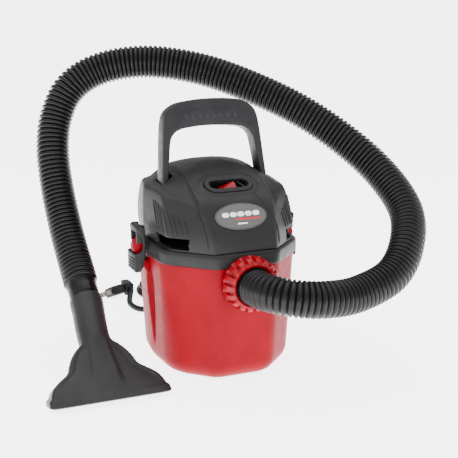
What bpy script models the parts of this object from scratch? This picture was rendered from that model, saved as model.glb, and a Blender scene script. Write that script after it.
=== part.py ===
"""Small portable wet and dry shop vacuum, modelled piece by piece.

Metres, +Z up. The vacuum faces -Y and stands on the floor at z = 0, with the origin under the
middle of its box. The tank is at the bottom. The head (lid, motor, cover, handle) lifts off it.
"""
import bmesh
import bpy
from math import atan2, cos, pi, radians, sin
from mathutils import Matrix, Vector

MM = 0.001
FIT = 0.3 * MM                # gap left between touching pieces

# ---- overall outline of tank and lid, seen from above (right half, front to back) ----
FRONT_FLAT = 35 * MM          # half width of the flat front
FRONT_Y = -93 * MM
SHOULDER = (78.5 * MM, -51 * MM)
SIDE = (81.5 * MM, 10 * MM)
REAR_SHOULDER = (75 * MM, 55 * MM)
REAR_FLAT = 36 * MM
REAR_Y = 83 * MM
CORNER_R = 14 * MM
SHOULDER_R = 30 * MM
SIDE_R = 60 * MM
ARC_STEPS = 4

# ---- tank ----
TANK_WALL = 2.6 * MM
TANK_TAPER = 5.8 * MM
TANK_BOTTOM_R = 20 * MM
TANK_STEP_IN = 2.0 * MM       # how far the tank sits inside the lid's skirt line
TANK_NECK_IN = 4.0 * MM       # neck that goes up inside the skirt
TANK_NECK_H = 7.0 * MM
GROOVE_Y = -8 * MM            # middle of the shallow groove down each side
GROOVE_R = 26 * MM
GROOVE_DEPTH = 1.7 * MM       # at its arched top, running out to nothing at its foot
GROOVE_Z = (26 * MM, 110 * MM)

# ---- lid ----
LID_Z = 127 * MM              # lower edge of the skirt, and so the tank's visible height
SKIRT_H = 14.7 * MM
SKIRT_WALL = 3.0 * MM
DECK_T = 3.0 * MM
LID_TOP = LID_Z + SKIRT_H
DECK_Z = LID_TOP - DECK_T
SEAL_T = DECK_Z - (LID_Z + TANK_NECK_H) - 2 * FIT
EAR_IN = SIDE[0] - 7.5 * MM
EAR_HALF_Y = 11 * MM
EAR_LUG_T = 3 * MM

# ---- motor cover: height above the lid, and how far its side, front and rear are pulled in ----
COVER_LEVELS = [
    (0.0, 7.0, 4.5, 4.5),
    (10.0, 4.5, 5.5, 2.5),
    (20.0, 4.0, 9.5, 2.5),
    (34.0, 5.5, 19.0, 4.5),
    (48.0, 8.5, 28.5, 8.5),
    (57.0, 12.5, 43.0, 13.0),
    (66.0, 21.5, 59.5, 20.0),
    (74.0, 33.5, 75.0, 31.0),
    (80.0, 48.5, 90.0, 44.0),
    (83.5, 64.5, 99.0, 56.0),
    (84.5, 76.5, 105.0, 64.0),
]
COVER_T = 2.5 * MM
COVER_Z = LID_TOP + FIT

# ---- label, switch ----
LABEL = (58 * MM, 29.5 * MM, 1.4 * MM)
LABEL_AT = (0, FRONT_Y + 19 * MM, COVER_Z + 34 * MM)
LABEL_TILT = radians(55.8)
SWITCH_POCKET = (45 * MM, 15 * MM)
SWITCH_RIM = 3.2 * MM
SWITCH_DEPTH = 15 * MM
SWITCH_AT = (0, FRONT_Y + 51.2 * MM, COVER_Z + 61.4 * MM)
SWITCH_TILT = radians(28.6)
ROCKER = (17 * MM, 10.5 * MM)

# ---- carry handle, an arch that slides along its leaning legs ----
HANDLE_LEAN = radians(9.8)
HANDLE_AT = (0, 2.8 * MM, COVER_Z + 61 * MM)
HANDLE_DEPTH = 20 * MM
HANDLE_LEG = 7.0 * MM
HANDLE_FOOT_X = SIDE[0] - 24.3 * MM     # middle of a leg at the cover
HANDLE_FOOT_DOWN = 14 * MM
HANDLE_GRIP = 27 * MM
HANDLE_RISE = 84.5 * MM
HANDLE_IN = 5.8 * MM          # how far the legs lean in by the top

# ---- latches ----
LATCH_PIVOT = (SIDE[0] + 6.5 * MM, 0.0, LID_TOP + 14.3 * MM)
LATCH_PIN_R = 1.9 * MM
LATCH_HALF_Y = 14 * MM
LATCH_PLATE = (LATCH_PIVOT[0] + 5.6 * MM, LATCH_PIVOT[0] + 9.8 * MM)
LATCH_Z = (LID_Z - 16 * MM, LATCH_PIVOT[2] + 8 * MM)
HOOK_HALF_Y = 7.0 * MM
HOOK_OUT = LATCH_PLATE[0] - 1 * MM
LUG_R = 4.6 * MM              # round end of each ear, inside the swing of the latch plate

# ---- hose inlet ----
INLET_Z = LID_Z - 16 * MM
BOSS_R = 15.4 * MM
INLET_BORE_R = 12.5 * MM
COLLAR_R = 29 * MM
COLLAR_BORE_R = 20.2 * MM
COLLAR_Y = (FRONT_Y - 2 * MM, FRONT_Y - 19 * MM)
COLLAR_TEETH = 18
HOSE_R = 19 * MM

# ---- motor ----
MOTOR_Y = 10 * MM
SHAFT_R = 4 * MM
IMPELLER_R = 45 * MM
HOUSING_R = 51 * MM
HOUSING_H = 17 * MM
STATOR = (34 * MM, 25.5 * MM)
PLATE_T = 2.4 * MM
BEARING_R = 10 * MM

# ---- filter ----
CAGE_R = 26 * MM
CAGE_H = 50 * MM
SLEEVE_T = 7 * MM
FLOAT_R = 16 * MM

# ---- power cord ----
CORD_R = 3.75 * MM
RELIEF_Z = COVER_Z + 18 * MM
RELIEF_LEN = 30.5 * MM
RELIEF_Y = REAR_Y - 1.5 * MM
COIL_AT = (38 * MM, 236 * MM)
COIL_MID_R = 41 * MM
COIL_SECTION = (11.4 * MM, 14.2 * MM)   # half width and full height of the wound cord

# ---- nozzle ----
MOUTH_AT = (-144 * MM, -75 * MM, 0.0)
NOZZLE_LEAN = radians(52)
MOUTH = (62 * MM, 11.5 * MM)           # half width, half thickness
NOZZLE_TUBE_R = 17.0 * MM
NOZZLE_WALL = 2.4 * MM
CUFF_R = 20.4 * MM

HOSE_ROUTE = [
    (0, -112.4, 111), (0, -124, 111), (5, -140, 111), (22, -156, 109), (52, -163, 106), (93, -157, 105),
    (140, -146, 117), (170, -125, 142), (188, -92, 170), (183, -50, 202), (158, -12, 235),
    (118, 26, 268), (70, 70, 295), (22, 108, 313), (-32, 136, 320), (-82, 150, 312),
    (-118, 151, 291), (-137, 146, 258), (-145, 134, 222), (-146, 114, 180), (-145, 84, 139),
    (-144, 54.8, 110.6), (-144, 43, 101.4), (-144, 31.2, 92.1),
]
CORD_OUT_ROUTE = [
    (0, 112.3, 160), (0, 119, 160), (2, 131, 151), (6, 140, 125), (11, 143, 92), (18, 142, 56),
    (29, 139, 24), (43, 139, 8), (57, 145, 4.6), (63, 157, 4.3), (60, 169, 4.3), (56.5, 179.2, 4.3),
    (54.3, 185.7, 4.3),
]
CORD_END_ROUTE = [
    (19.85, 186.3, 4.3), (16.8, 177.8, 4.3), (8, 167, 4.3), (-6, 160, 4.3), (-20, 160.5, 4.3), (-31, 168, 4.3),
    (-36.5, 180, 4.3), (-37, 195, 4.6), (-34, 210, 5.4), (-28, 223, 6.8), (-25.0, 233, 7.6), (-25.0, 239.7, 7.6),
]
PLUG_AT = (-25 * MM, 250 * MM, 9.6 * MM)
PLUG_YAW = radians(205)
PLUG_ROLL = radians(25)
BLADE_PITCH = 12.7 * MM

PARTS = "shop_vacuum"
CUTTERS = "cutters"


def clear_scene():
    for old in list(bpy.data.objects):
        bpy.data.objects.remove(old, do_unlink=True)


def new_collection(name):
    made = bpy.data.collections.new(name)
    bpy.context.scene.collection.children.link(made)
    return made


clear_scene()
parts = new_collection(PARTS)
cutters = new_collection(CUTTERS)


# ------------------------------------------------------------------ materials
def material(name, rgb, roughness, metallic=0.0):
    made = bpy.data.materials.new(name)
    made.use_nodes = True
    shader = made.node_tree.nodes["Principled BSDF"]
    shader.inputs["Base Color"].default_value = (*rgb, 1.0)
    shader.inputs["Roughness"].default_value = roughness
    shader.inputs["Metallic"].default_value = metallic
    return made


RED = (0.55, 0.02, 0.04)
BLACK = (0.03, 0.03, 0.032)
CHARCOAL = (0.045, 0.045, 0.047)
GREY = (0.18, 0.17, 0.17)
FOAM = (0.06, 0.06, 0.065)
WHITE = (0.7, 0.7, 0.68)
STEEL = (0.6, 0.6, 0.62)
COPPER = (0.5, 0.22, 0.1)
BRASS = (0.6, 0.45, 0.2)


def finish(obj, rgb, roughness=0.45, metallic=0.0):
    """Give the piece a material of its own, named after it."""
    obj.data.materials.clear()
    obj.data.materials.append(material(obj.name + "_finish", rgb, roughness, metallic))
    return obj


# ------------------------------------------------------------------ makers
def place(name, mesh, cutter=False):
    obj = bpy.data.objects.new(name, mesh)
    (cutters if cutter else parts).objects.link(obj)
    if cutter:
        obj.hide_render = True
        obj.display_type = "WIRE"
    return obj


def from_bmesh(name, bm, cutter=False):
    bmesh.ops.recalc_face_normals(bm, faces=bm.faces)
    mesh = bpy.data.meshes.new(name)
    bm.to_mesh(mesh)
    bm.free()
    mesh.set_sharp_from_angle(angle=radians(35))
    return place(name, mesh, cutter)


def box(name, low, high, cutter=False, matrix=None):
    bm = bmesh.new()
    size = [high[i] - low[i] for i in range(3)]
    middle = [(high[i] + low[i]) / 2 for i in range(3)]
    bmesh.ops.create_cube(bm, size=1.0)
    bmesh.ops.scale(bm, vec=size, verts=bm.verts)
    bmesh.ops.translate(bm, vec=middle, verts=bm.verts)
    if matrix is not None:
        bmesh.ops.transform(bm, matrix=matrix, verts=bm.verts)
    return from_bmesh(name, bm, cutter)


def cylinder(name, radius, low, high, at=(0, 0, 0), axis="Z", sides=32, cutter=False, top_radius=None):
    """A cylinder or cone from low to high along one axis, through the point at."""
    bm = bmesh.new()
    end = radius if top_radius is None else top_radius
    bmesh.ops.create_cone(bm, cap_ends=True, segments=sides, radius1=radius, radius2=end, depth=high - low)
    bmesh.ops.translate(bm, vec=(0, 0, (low + high) / 2), verts=bm.verts)
    turn = {"Z": Matrix(), "Y": Matrix.Rotation(-pi / 2, 4, "X"), "X": Matrix.Rotation(pi / 2, 4, "Y")}[axis]
    bmesh.ops.transform(bm, matrix=Matrix.Translation(at) @ turn, verts=bm.verts)
    return from_bmesh(name, bm, cutter)


def turned(name, profile, at=(0, 0, 0), axis="Z", sides=36, closed=True, cutter=False):
    """Turn a profile of (radius, height) points, outer side first and top to bottom."""
    mesh = bpy.data.meshes.new(name)
    points = [(r, 0, h) for r, h in profile]
    count = len(points)
    edges = [(i, (i + 1) % count) for i in range(count if closed else count - 1)]
    mesh.from_pydata(points, edges, [])
    obj = place(name, mesh, cutter)
    turn = {"Z": Matrix(), "Y": Matrix.Rotation(-pi / 2, 4, "X")}[axis]
    obj.matrix_world = Matrix.Translation(at) @ turn
    screw = obj.modifiers.new("turn", "SCREW")
    screw.steps = sides
    screw.render_steps = sides
    screw.use_merge_vertices = True
    screw.merge_threshold = 0.00001
    return obj


def stack(name, rings, cutter=False):
    """A solid grown by extruding one face through a list of rings of equal length."""
    bm = bmesh.new()
    slot = bm.verts.layers.int.new("slot")
    first = [bm.verts.new(point) for point in rings[0]]
    for number, vert in enumerate(first):
        vert[slot] = number
    face = bm.faces.new(first)
    for number, ring in enumerate(rings[1:]):
        grown = bmesh.ops.extrude_face_region(bm, geom=[face], use_keep_orig=True)
        if number:
            bm.faces.remove(face)
        face = [item for item in grown["geom"] if isinstance(item, bmesh.types.BMFace)][0]
        for vert in face.verts:
            vert.co = ring[vert[slot]]
    return from_bmesh(name, bm, cutter)


def slab(name, outline, thickness, cutter=False, bevel=0.0):
    """A flat outline, drawn as a filled 2D curve in XY and thickened evenly about z = 0."""
    curve = bpy.data.curves.new(name, "CURVE")
    curve.dimensions = "2D"
    curve.fill_mode = "BOTH"
    curve.extrude = thickness / 2
    spline = curve.splines.new("POLY")
    spline.points.add(len(outline) - 1)
    for point, (x, y) in zip(spline.points, outline):
        point.co = (x, y, 0, 1)
    spline.use_cyclic_u = True
    drawn = place(name, curve)
    return to_mesh(drawn, name, cutter, bevel)


def to_mesh(drawn, name, cutter=False, bevel=0.0):
    """Replace a curve object by its mesh, with the caps welded on."""
    bpy.context.view_layer.update()
    graph = bpy.context.evaluated_depsgraph_get()
    mesh = bpy.data.meshes.new_from_object(drawn.evaluated_get(graph))
    matrix = drawn.matrix_world.copy()
    bpy.data.objects.remove(drawn, do_unlink=True)
    bm = bmesh.new()
    bm.from_mesh(mesh)
    bmesh.ops.remove_doubles(bm, verts=bm.verts, dist=0.00001)
    bmesh.ops.recalc_face_normals(bm, faces=bm.faces)
    bm.to_mesh(mesh)
    bm.free()
    mesh.set_sharp_from_angle(angle=radians(35))
    obj = place(name, mesh, cutter)
    obj.matrix_world = matrix
    if bevel:
        edge = obj.modifiers.new("edges", "BEVEL")
        edge.width = bevel
        edge.segments = 2
        edge.limit_method = "ANGLE"
        edge.angle_limit = radians(50)
    return obj


def cut(obj, tool, operation="DIFFERENCE"):
    made = obj.modifiers.new(operation.lower(), "BOOLEAN")
    made.operation = operation
    made.solver = "EXACT"
    made.object = tool
    return obj


def move(obj, matrix):
    obj.matrix_world = matrix @ obj.matrix_world
    return obj


def bake(obj, matrix):
    """Move a piece by its mesh, so that a mirrored piece keeps its faces pointing out."""
    whole = matrix @ obj.matrix_world
    obj.data.transform(whole)
    obj.matrix_world = Matrix()
    if whole.determinant() < 0:
        obj.data.flip_normals()
    return obj


def ring_profile(outer, inner, low, high):
    return [(outer, high), (outer, low), (inner, low), (inner, high)]


def arc(centre, radius, start, end, steps):
    return [(centre[0] + radius * cos(start + (end - start) * i / steps),
             centre[1] + radius * sin(start + (end - start) * i / steps)) for i in range(steps + 1)]


def oval(width, height, steps=32):
    return [(width / 2 * cos(2 * pi * i / steps), height / 2 * sin(2 * pi * i / steps)) for i in range(steps)]


def pill(width, height, steps=8):
    """A rounded oblong with half-round ends."""
    r = height / 2
    x = width / 2 - r
    return arc((x, 0), r, -pi / 2, pi / 2, steps) + arc((-x, 0), r, pi / 2, 3 * pi / 2, steps)


def pivot(name, at, children, turn=None):
    """An empty on a joint's axis that carries the moving pieces."""
    empty = bpy.data.objects.new(name, None)
    parts.objects.link(empty)
    empty.matrix_world = Matrix.Translation(at) @ (turn or Matrix())
    bpy.context.view_layer.update()
    for child in children:
        child.parent = empty
        child.matrix_parent_inverse = empty.matrix_world.inverted()
    return empty


# ------------------------------------------------------------------ plan outline
PLAN_CORNERS = [
    (-FRONT_FLAT, FRONT_Y, CORNER_R), (FRONT_FLAT, FRONT_Y, CORNER_R),
    (*SHOULDER, SHOULDER_R), (*SIDE, SIDE_R), (*REAR_SHOULDER, SHOULDER_R),
    (REAR_FLAT, REAR_Y, SHOULDER_R), (-REAR_FLAT, REAR_Y, SHOULDER_R),
    (-REAR_SHOULDER[0], REAR_SHOULDER[1], SHOULDER_R), (-SIDE[0], SIDE[1], SIDE_R),
    (-SHOULDER[0], SHOULDER[1], SHOULDER_R),
]


def plan(inset=0.0):
    """The outline seen from above, moved in by an even distance, as (x, y) points."""
    points = []
    count = len(PLAN_CORNERS)
    for i, (x, y, radius) in enumerate(PLAN_CORNERS):
        here = Vector((x, y))
        before = Vector(PLAN_CORNERS[i - 1][:2])
        after = Vector(PLAN_CORNERS[(i + 1) % count][:2])
        into = (here - before).normalized()
        out = (after - here).normalized()
        normal_in = Vector((into.y, -into.x))
        normal_out = Vector((out.y, -out.x))
        half_turn = into.angle(out) / 2
        to_centre = -(normal_in + normal_out).normalized() * (radius / cos(half_turn))
        centre = here + to_centre
        small = max(radius - inset, 0.4 * MM)
        centre = centre if radius - inset > 0.4 * MM else here + to_centre.normalized() * (
            (inset + 0.4 * MM) / cos(half_turn))
        start = atan2(normal_in.y, normal_in.x)
        end = start + 2 * half_turn
        points += arc(centre, small, start, end, ARC_STEPS)
    return points


def plan_ring(inset, z):
    return [(x, y, z) for x, y in plan(inset)]


# ------------------------------------------------------------------ tank
def side_of_tank(z):
    """How far out the tank's side is at the groove, at height z."""
    share = (GROOVE_Y - SHOULDER[1]) / (SIDE[1] - SHOULDER[1])
    top = SHOULDER[0] + share * (SIDE[0] - SHOULDER[0]) - TANK_STEP_IN
    return top - TANK_TAPER * (LID_Z - z) / (LID_Z - TANK_BOTTOM_R)


def build_tank():
    foot_in = TANK_STEP_IN + TANK_TAPER + TANK_BOTTOM_R
    outer = []
    for step in range(6):
        angle = radians(18 * step)
        outer.append((foot_in - TANK_BOTTOM_R * sin(angle), TANK_BOTTOM_R * (1 - cos(angle))))
    top = LID_Z - 2 * FIT
    outer.append((TANK_STEP_IN, top))
    neck_top = LID_Z + TANK_NECK_H
    outer += [(TANK_NECK_IN, top + FIT), (TANK_NECK_IN, neck_top)]
    neck_inner = TANK_NECK_IN + TANK_WALL
    inner = [(neck_inner, neck_top), (neck_inner, LID_Z - 6 * MM)]
    for step in (5, 3, 1, 0):
        angle = radians(18 * step)
        radius = TANK_BOTTOM_R - TANK_WALL
        inner.append((foot_in - radius * sin(angle), TANK_WALL + radius * (1 - cos(angle))))
    tank = stack("tank", [plan_ring(inset, z) for inset, z in outer + inner])
    finish(tank, RED, 0.4)

    boss = cylinder("inlet_boss", BOSS_R, COLLAR_Y[0] - 2.5 * MM, FRONT_Y + 4 * MM, (0, 0, INLET_Z), "Y", 32, True)
    cut(tank, boss, "UNION")
    bore = cylinder("inlet_bore", INLET_BORE_R, FRONT_Y - 12 * MM, FRONT_Y + 20 * MM, (0, 0, INLET_Z), "Y", 32, True)
    cut(tank, bore)
    for side in (-1, 1):
        x = SIDE[0] - TANK_STEP_IN
        root = side_of_tank(LID_Z - 19 * MM) - 1.0 * MM       # inside the tank's own wall
        outline = [(root, LID_Z - 19 * MM), (x + 3 * MM, LID_Z - 19 * MM),
                   (HOOK_OUT - 3.5 * MM, LID_Z - 7 * MM),
                   (HOOK_OUT, LID_Z), (HOOK_OUT, LID_Z + 13 * MM), (HOOK_OUT - 5 * MM, LID_Z + 19 * MM),
                   (SIDE[0] + 2 * MM, LID_Z + 16 * MM), (SIDE[0] + 1.5 * MM, LID_Z - 3 * MM),
                   (root, LID_Z - 5 * MM)]
        hook = slab(f"hook_tool_{side}", outline, 2 * HOOK_HALF_Y, True)
        bake(hook, Matrix.Scale(side, 4, (1, 0, 0)) @ Matrix.Rotation(pi / 2, 4, "X"))
        cut(tank, hook, "UNION")
        foot = Vector((side_of_tank(GROOVE_Z[0]) + GROOVE_R, GROOVE_Y, GROOVE_Z[0]))
        head = Vector((side_of_tank(GROOVE_Z[1]) + GROOVE_R - GROOVE_DEPTH, GROOVE_Y, GROOVE_Z[1]))
        groove = cylinder(f"groove_tool_{side}", GROOVE_R, 0, (head - foot).length, sides=72, cutter=True)
        slope = Matrix.Rotation(atan2(head.x - foot.x, head.z - foot.z), 4, "Y")
        bake(groove, Matrix.Scale(side, 4, (1, 0, 0)) @ Matrix.Translation(foot) @ slope)
        cut(tank, groove)
    return tank


# ------------------------------------------------------------------ lid
def build_lid():
    profile = [(TANK_NECK_IN - 0.6 * MM, DECK_Z), (SKIRT_WALL, LID_Z), (0, LID_Z),
               (0.4 * MM, LID_TOP - 2 * MM), (2.4 * MM, LID_TOP)]
    lid = stack("lid_base", [plan_ring(inset, z) for inset, z in profile])
    finish(lid, BLACK)
    for side in (-1, 1):
        centre = (LATCH_PIVOT[0], LATCH_PIVOT[2])
        ear_low = LID_TOP - 1 * MM
        rounded = arc(centre, LUG_R, 0, pi / 2, 5)
        outline = [(EAR_IN, ear_low), (centre[0] + LUG_R, ear_low)] + rounded + [(EAR_IN, centre[1] + LUG_R)]
        ear = stack(f"ear_tool_{side}", [[(x, y, z) for x, z in outline] for y in (-EAR_HALF_Y, EAR_HALF_Y)], True)
        bake(ear, Matrix.Scale(side, 4, (1, 0, 0)))
        inner, outer = sorted((side * (centre[0] - 4.8 * MM), side * (centre[0] + 9 * MM)))
        gap = EAR_HALF_Y - EAR_LUG_T
        notch = box(f"ear_notch_{side}", (inner, -gap, LID_TOP + 2.4 * MM), (outer, gap, LID_TOP + 30 * MM), True)
        cut(ear, notch)
        inner, outer = sorted((side * (EAR_IN - 5 * MM), side * (centre[0] - 4.8 * MM)))
        room = box(f"ear_room_{side}", (inner, -20 * MM, LID_TOP + FIT), (outer, 20 * MM, LID_TOP + 30 * MM), True)
        cut(ear, room)
        under = sorted((side * (SIDE[0] + 0.2 * MM), side * (centre[0] + 9 * MM)))
        below = box(f"ear_below_{side}", (under[0], -gap, LID_TOP - 5 * MM), (under[1], gap, LID_TOP + 6 * MM), True)
        cut(ear, below)
        cut(lid, ear, "UNION")
        pin = cylinder(f"ear_bore_{side}", LATCH_PIN_R + FIT, -20 * MM, 20 * MM,
                       (side * LATCH_PIVOT[0], 0, LATCH_PIVOT[2]), "Y", 16, True)
        cut(lid, pin)
    hole = cylinder("suction_hole", 22 * MM, DECK_Z - 10 * MM, LID_TOP + 10 * MM, (0, MOTOR_Y, 0), "Z", 32, True)
    cut(lid, hole)

    seal_z = LID_Z + TANK_NECK_H + FIT
    seal = stack("lid_seal", [plan_ring(TANK_NECK_IN + 0.2 * MM, seal_z), plan_ring(TANK_NECK_IN + 0.2 * MM, seal_z + SEAL_T)])
    cut(seal, stack("seal_hole", [plan_ring(TANK_NECK_IN + TANK_WALL, seal_z - 5 * MM),
                                  plan_ring(TANK_NECK_IN + TANK_WALL, seal_z + 9 * MM)], True))
    finish(seal, FOAM, 0.8)


# ------------------------------------------------------------------ motor cover
def cover_ring(level, shell=0.0, drop=0.0):
    """One ring of the dome: the plan outline stretched to the level's width and reach."""
    height, side_in, front_in, rear_in = level
    half = SIDE[0] - side_in * MM - shell
    front = FRONT_Y + front_in * MM + shell
    rear = REAR_Y - rear_in * MM - shell
    ring = []
    for x, y in plan():
        share = (y - FRONT_Y) / (REAR_Y - FRONT_Y)
        ring.append((x * half / SIDE[0], front + share * (rear - front), COVER_Z + height * MM - drop))
    return ring


def slope_matrix(at, tilt):
    return Matrix.Translation(at) @ Matrix.Rotation(tilt, 4, "X")


def build_cover():
    count = len(COVER_LEVELS)
    inner = []
    for number, level in enumerate(COVER_LEVELS[:-1]):
        inner.append(cover_ring(level, COVER_T, COVER_T * number / (count - 1)))
    rings = list(reversed(inner)) + [cover_ring(level) for level in COVER_LEVELS]
    cover = stack("motor_cover", rings)
    finish(cover, CHARCOAL)

    switch = slope_matrix(SWITCH_AT, SWITCH_TILT)
    pocket = slab("switch_hole", pill(*SWITCH_POCKET), 30 * MM, True)
    cut(cover, move(pocket, switch))
    for side in (-1, 1):
        low = HANDLE_FOOT_X - HANDLE_LEG / 2 - HANDLE_IN - 2.2 * MM
        high = HANDLE_FOOT_X + HANDLE_LEG / 2 + 2.0 * MM
        low, high = sorted((side * low, side * high))
        half = HANDLE_DEPTH / 2 + 1.4 * MM
        slot = box(f"handle_slot_{side}", (low, -half, -20 * MM), (high, half, 40 * MM), True,
                   Matrix.Translation(HANDLE_AT) @ Matrix.Rotation(-HANDLE_LEAN, 4, "X"))
        cut(cover, slot)
        exhaust = box(f"exhaust_tool_{side}", (-25 * MM, -12 * MM, COVER_Z + 1.5 * MM),
                      (25 * MM, 16 * MM, COVER_Z + 11.5 * MM), True,
                      Matrix.Translation((side * 66 * MM, -50 * MM, 0)) @ Matrix.Rotation(side * radians(66), 4, "Z"))
        cut(cover, exhaust)
    cord_hole = cylinder("cord_hole", 6.2 * MM, REAR_Y - 25 * MM, REAR_Y + 20 * MM, (0, 0, RELIEF_Z), "Y", 24, True)
    cut(cover, cord_hole)

    label = slab("label_plate", oval(LABEL[0], LABEL[1]), LABEL[2])
    move(label, slope_matrix(LABEL_AT, LABEL_TILT) @ Matrix.Translation((0, 0, LABEL[2] / 2 + FIT)))
    finish(label, GREY, 0.35)

    bezel = slab("switch_bezel", pill(SWITCH_POCKET[0] + 2 * SWITCH_RIM, SWITCH_POCKET[1] + 2 * SWITCH_RIM), 2.4 * MM)
    hole = slab("bezel_hole", pill(SWITCH_POCKET[0] - 1 * MM, SWITCH_POCKET[1] - 1 * MM), 9 * MM, True)
    lift = switch @ Matrix.Translation((0, 0, 1.2 * MM + FIT))
    move(bezel, lift)
    cut(bezel, move(hole, lift))
    finish(bezel, CHARCOAL)

    body = slab("switch_body", pill(SWITCH_POCKET[0] - 0.8 * MM, SWITCH_POCKET[1] - 0.8 * MM), SWITCH_DEPTH)
    move(body, switch @ Matrix.Translation((0, 0, -SWITCH_DEPTH / 2 - 0.2 * MM)))
    well = slab("switch_well", pill(SWITCH_POCKET[0] - 3.6 * MM, SWITCH_POCKET[1] - 3.2 * MM), 24 * MM, True)
    cut(body, move(well, switch @ Matrix.Translation((0, 0, 0))))
    finish(body, BLACK)

    half = ROCKER[0] / 2
    outline = [(-0.7 * half, -9.5 * MM), (0.7 * half, -9.5 * MM), (half, -6 * MM), (half, 1.2 * MM),
               (0.82 * half, 2.0 * MM), (-half, -4.4 * MM), (-half, -7 * MM)]
    rocker = slab("power_switch", outline, ROCKER[1], bevel=0.5 * MM)
    move(rocker, switch @ Matrix.Rotation(pi / 2, 4, "X"))
    finish(rocker, RED, 0.35)
    return switch, rocker


def build_relief():
    profile = [(0, RELIEF_LEN), (CORD_R + 1.4 * MM, RELIEF_LEN), (CORD_R + 2.0 * MM, 2 * MM),
               (9.5 * MM, 2 * MM), (9.5 * MM, 0), (5.8 * MM, 0), (5.8 * MM, -8 * MM), (0, -8 * MM)]
    relief = turned("strain_relief", profile, (0, RELIEF_Y, RELIEF_Z), "Y", 24, False)
    finish(relief, BLACK, 0.6)


# ------------------------------------------------------------------ handle
def handle_outline():
    """Half the arch: up the outer side to the top middle, and down the inner side."""
    foot = HANDLE_FOOT_X + HANDLE_IN * HANDLE_FOOT_DOWN / HANDLE_RISE
    half = HANDLE_LEG / 2
    lean = HANDLE_IN / (66 * MM)
    outer = [(foot + half, -HANDLE_FOOT_DOWN), (HANDLE_FOOT_X + half, 0), (HANDLE_FOOT_X + half - 45 * MM * lean, 45 * MM)]
    top = HANDLE_RISE
    corner = [(54.6, 62), (53.2, 68.5), (49.5, 74), (44.0, 78), (37.0, 80.8), (27, 82.9), (14, 84.1)]
    outer += [(x * MM, z * MM) for x, z in corner] + [(0, top)]
    under = top - HANDLE_GRIP
    inside = [(0, under), (14 * MM, under - 0.6 * MM), (27 * MM, under - 1.8 * MM), (36 * MM, under - 3.4 * MM),
              (42.5 * MM, under - 6.2 * MM), (46.6 * MM, under - 11 * MM), (48.4 * MM, under - 17 * MM)]
    inside += [(HANDLE_FOOT_X - half - 22 * MM * lean, 22 * MM), (HANDLE_FOOT_X - half, 0), (foot - half, -HANDLE_FOOT_DOWN)]
    return outer, inside


def build_handle():
    outer, inside = handle_outline()
    mirror_outer = [(-x, z) for x, z in reversed(outer[:-1])]
    mirror_inside = [(-x, z) for x, z in reversed(inside[1:])]
    outline = outer + mirror_outer + mirror_inside + inside
    handle = slab("carry_handle", outline, HANDLE_DEPTH, bevel=2.2 * MM)
    stand = Matrix.Translation(HANDLE_AT) @ Matrix.Rotation(-HANDLE_LEAN, 4, "X")
    move(handle, stand @ Matrix.Rotation(pi / 2, 4, "X"))
    finish(handle, BLACK)
    pivot("handle_slide_axis", HANDLE_AT, [handle], Matrix.Rotation(-HANDLE_LEAN, 4, "X"))


# ------------------------------------------------------------------ latches
def build_latch(side, word):
    x, y, z = LATCH_PIVOT
    mirror = Matrix.Scale(side, 4, (1, 0, 0))

    def mirrored(obj):
        return bake(obj, mirror)

    latch = mirrored(box("latch_" + word, (LATCH_PLATE[0], -LATCH_HALF_Y, LATCH_Z[0]),
                         (LATCH_PLATE[1], LATCH_HALF_Y, LATCH_Z[1])))
    window = box(f"latch_window_{word}", (LATCH_PLATE[0] - 5 * MM, -HOOK_HALF_Y - 0.8 * MM, LID_Z),
                 (LATCH_PLATE[1] + 5 * MM, HOOK_HALF_Y + 0.8 * MM, LID_Z + 19.5 * MM), True)
    cut(latch, mirrored(window))
    for end in (-1, 1):
        low, high = sorted((end * (LATCH_HALF_Y - 2.3 * MM), end * LATCH_HALF_Y))
        flange = box(f"latch_flange_{word}_{end}", (x - 5 * MM, low, LATCH_Z[0]), (LATCH_PLATE[0] + 1 * MM, high, LID_TOP + 8 * MM), True)
        cut(latch, mirrored(flange), "UNION")
    gap = EAR_HALF_Y - EAR_LUG_T - FIT
    web = box(f"latch_web_{word}", (x, -gap, z - 3.4 * MM), (LATCH_PLATE[0] + 1 * MM, gap, z + 3.4 * MM), True)
    cut(latch, mirrored(web), "UNION")
    barrel = cylinder(f"latch_barrel_{word}", 4.4 * MM, -gap, gap, (x, 0, z), "Y", 20, True)
    cut(latch, mirrored(barrel), "UNION")
    bore = cylinder(f"latch_bore_{word}", LATCH_PIN_R + FIT, -20 * MM, 20 * MM, (x, 0, z), "Y", 16, True)
    cut(latch, mirrored(bore))
    finish(latch, BLACK)
    pin = cylinder("latch_pin_" + word, LATCH_PIN_R, -EAR_HALF_Y, EAR_HALF_Y, (side * x, 0, z), "Y", 16)
    finish(pin, STEEL, 0.3, 1.0)
    pivot(f"latch_{word}_axis", (side * x, y, z), [latch])


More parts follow.
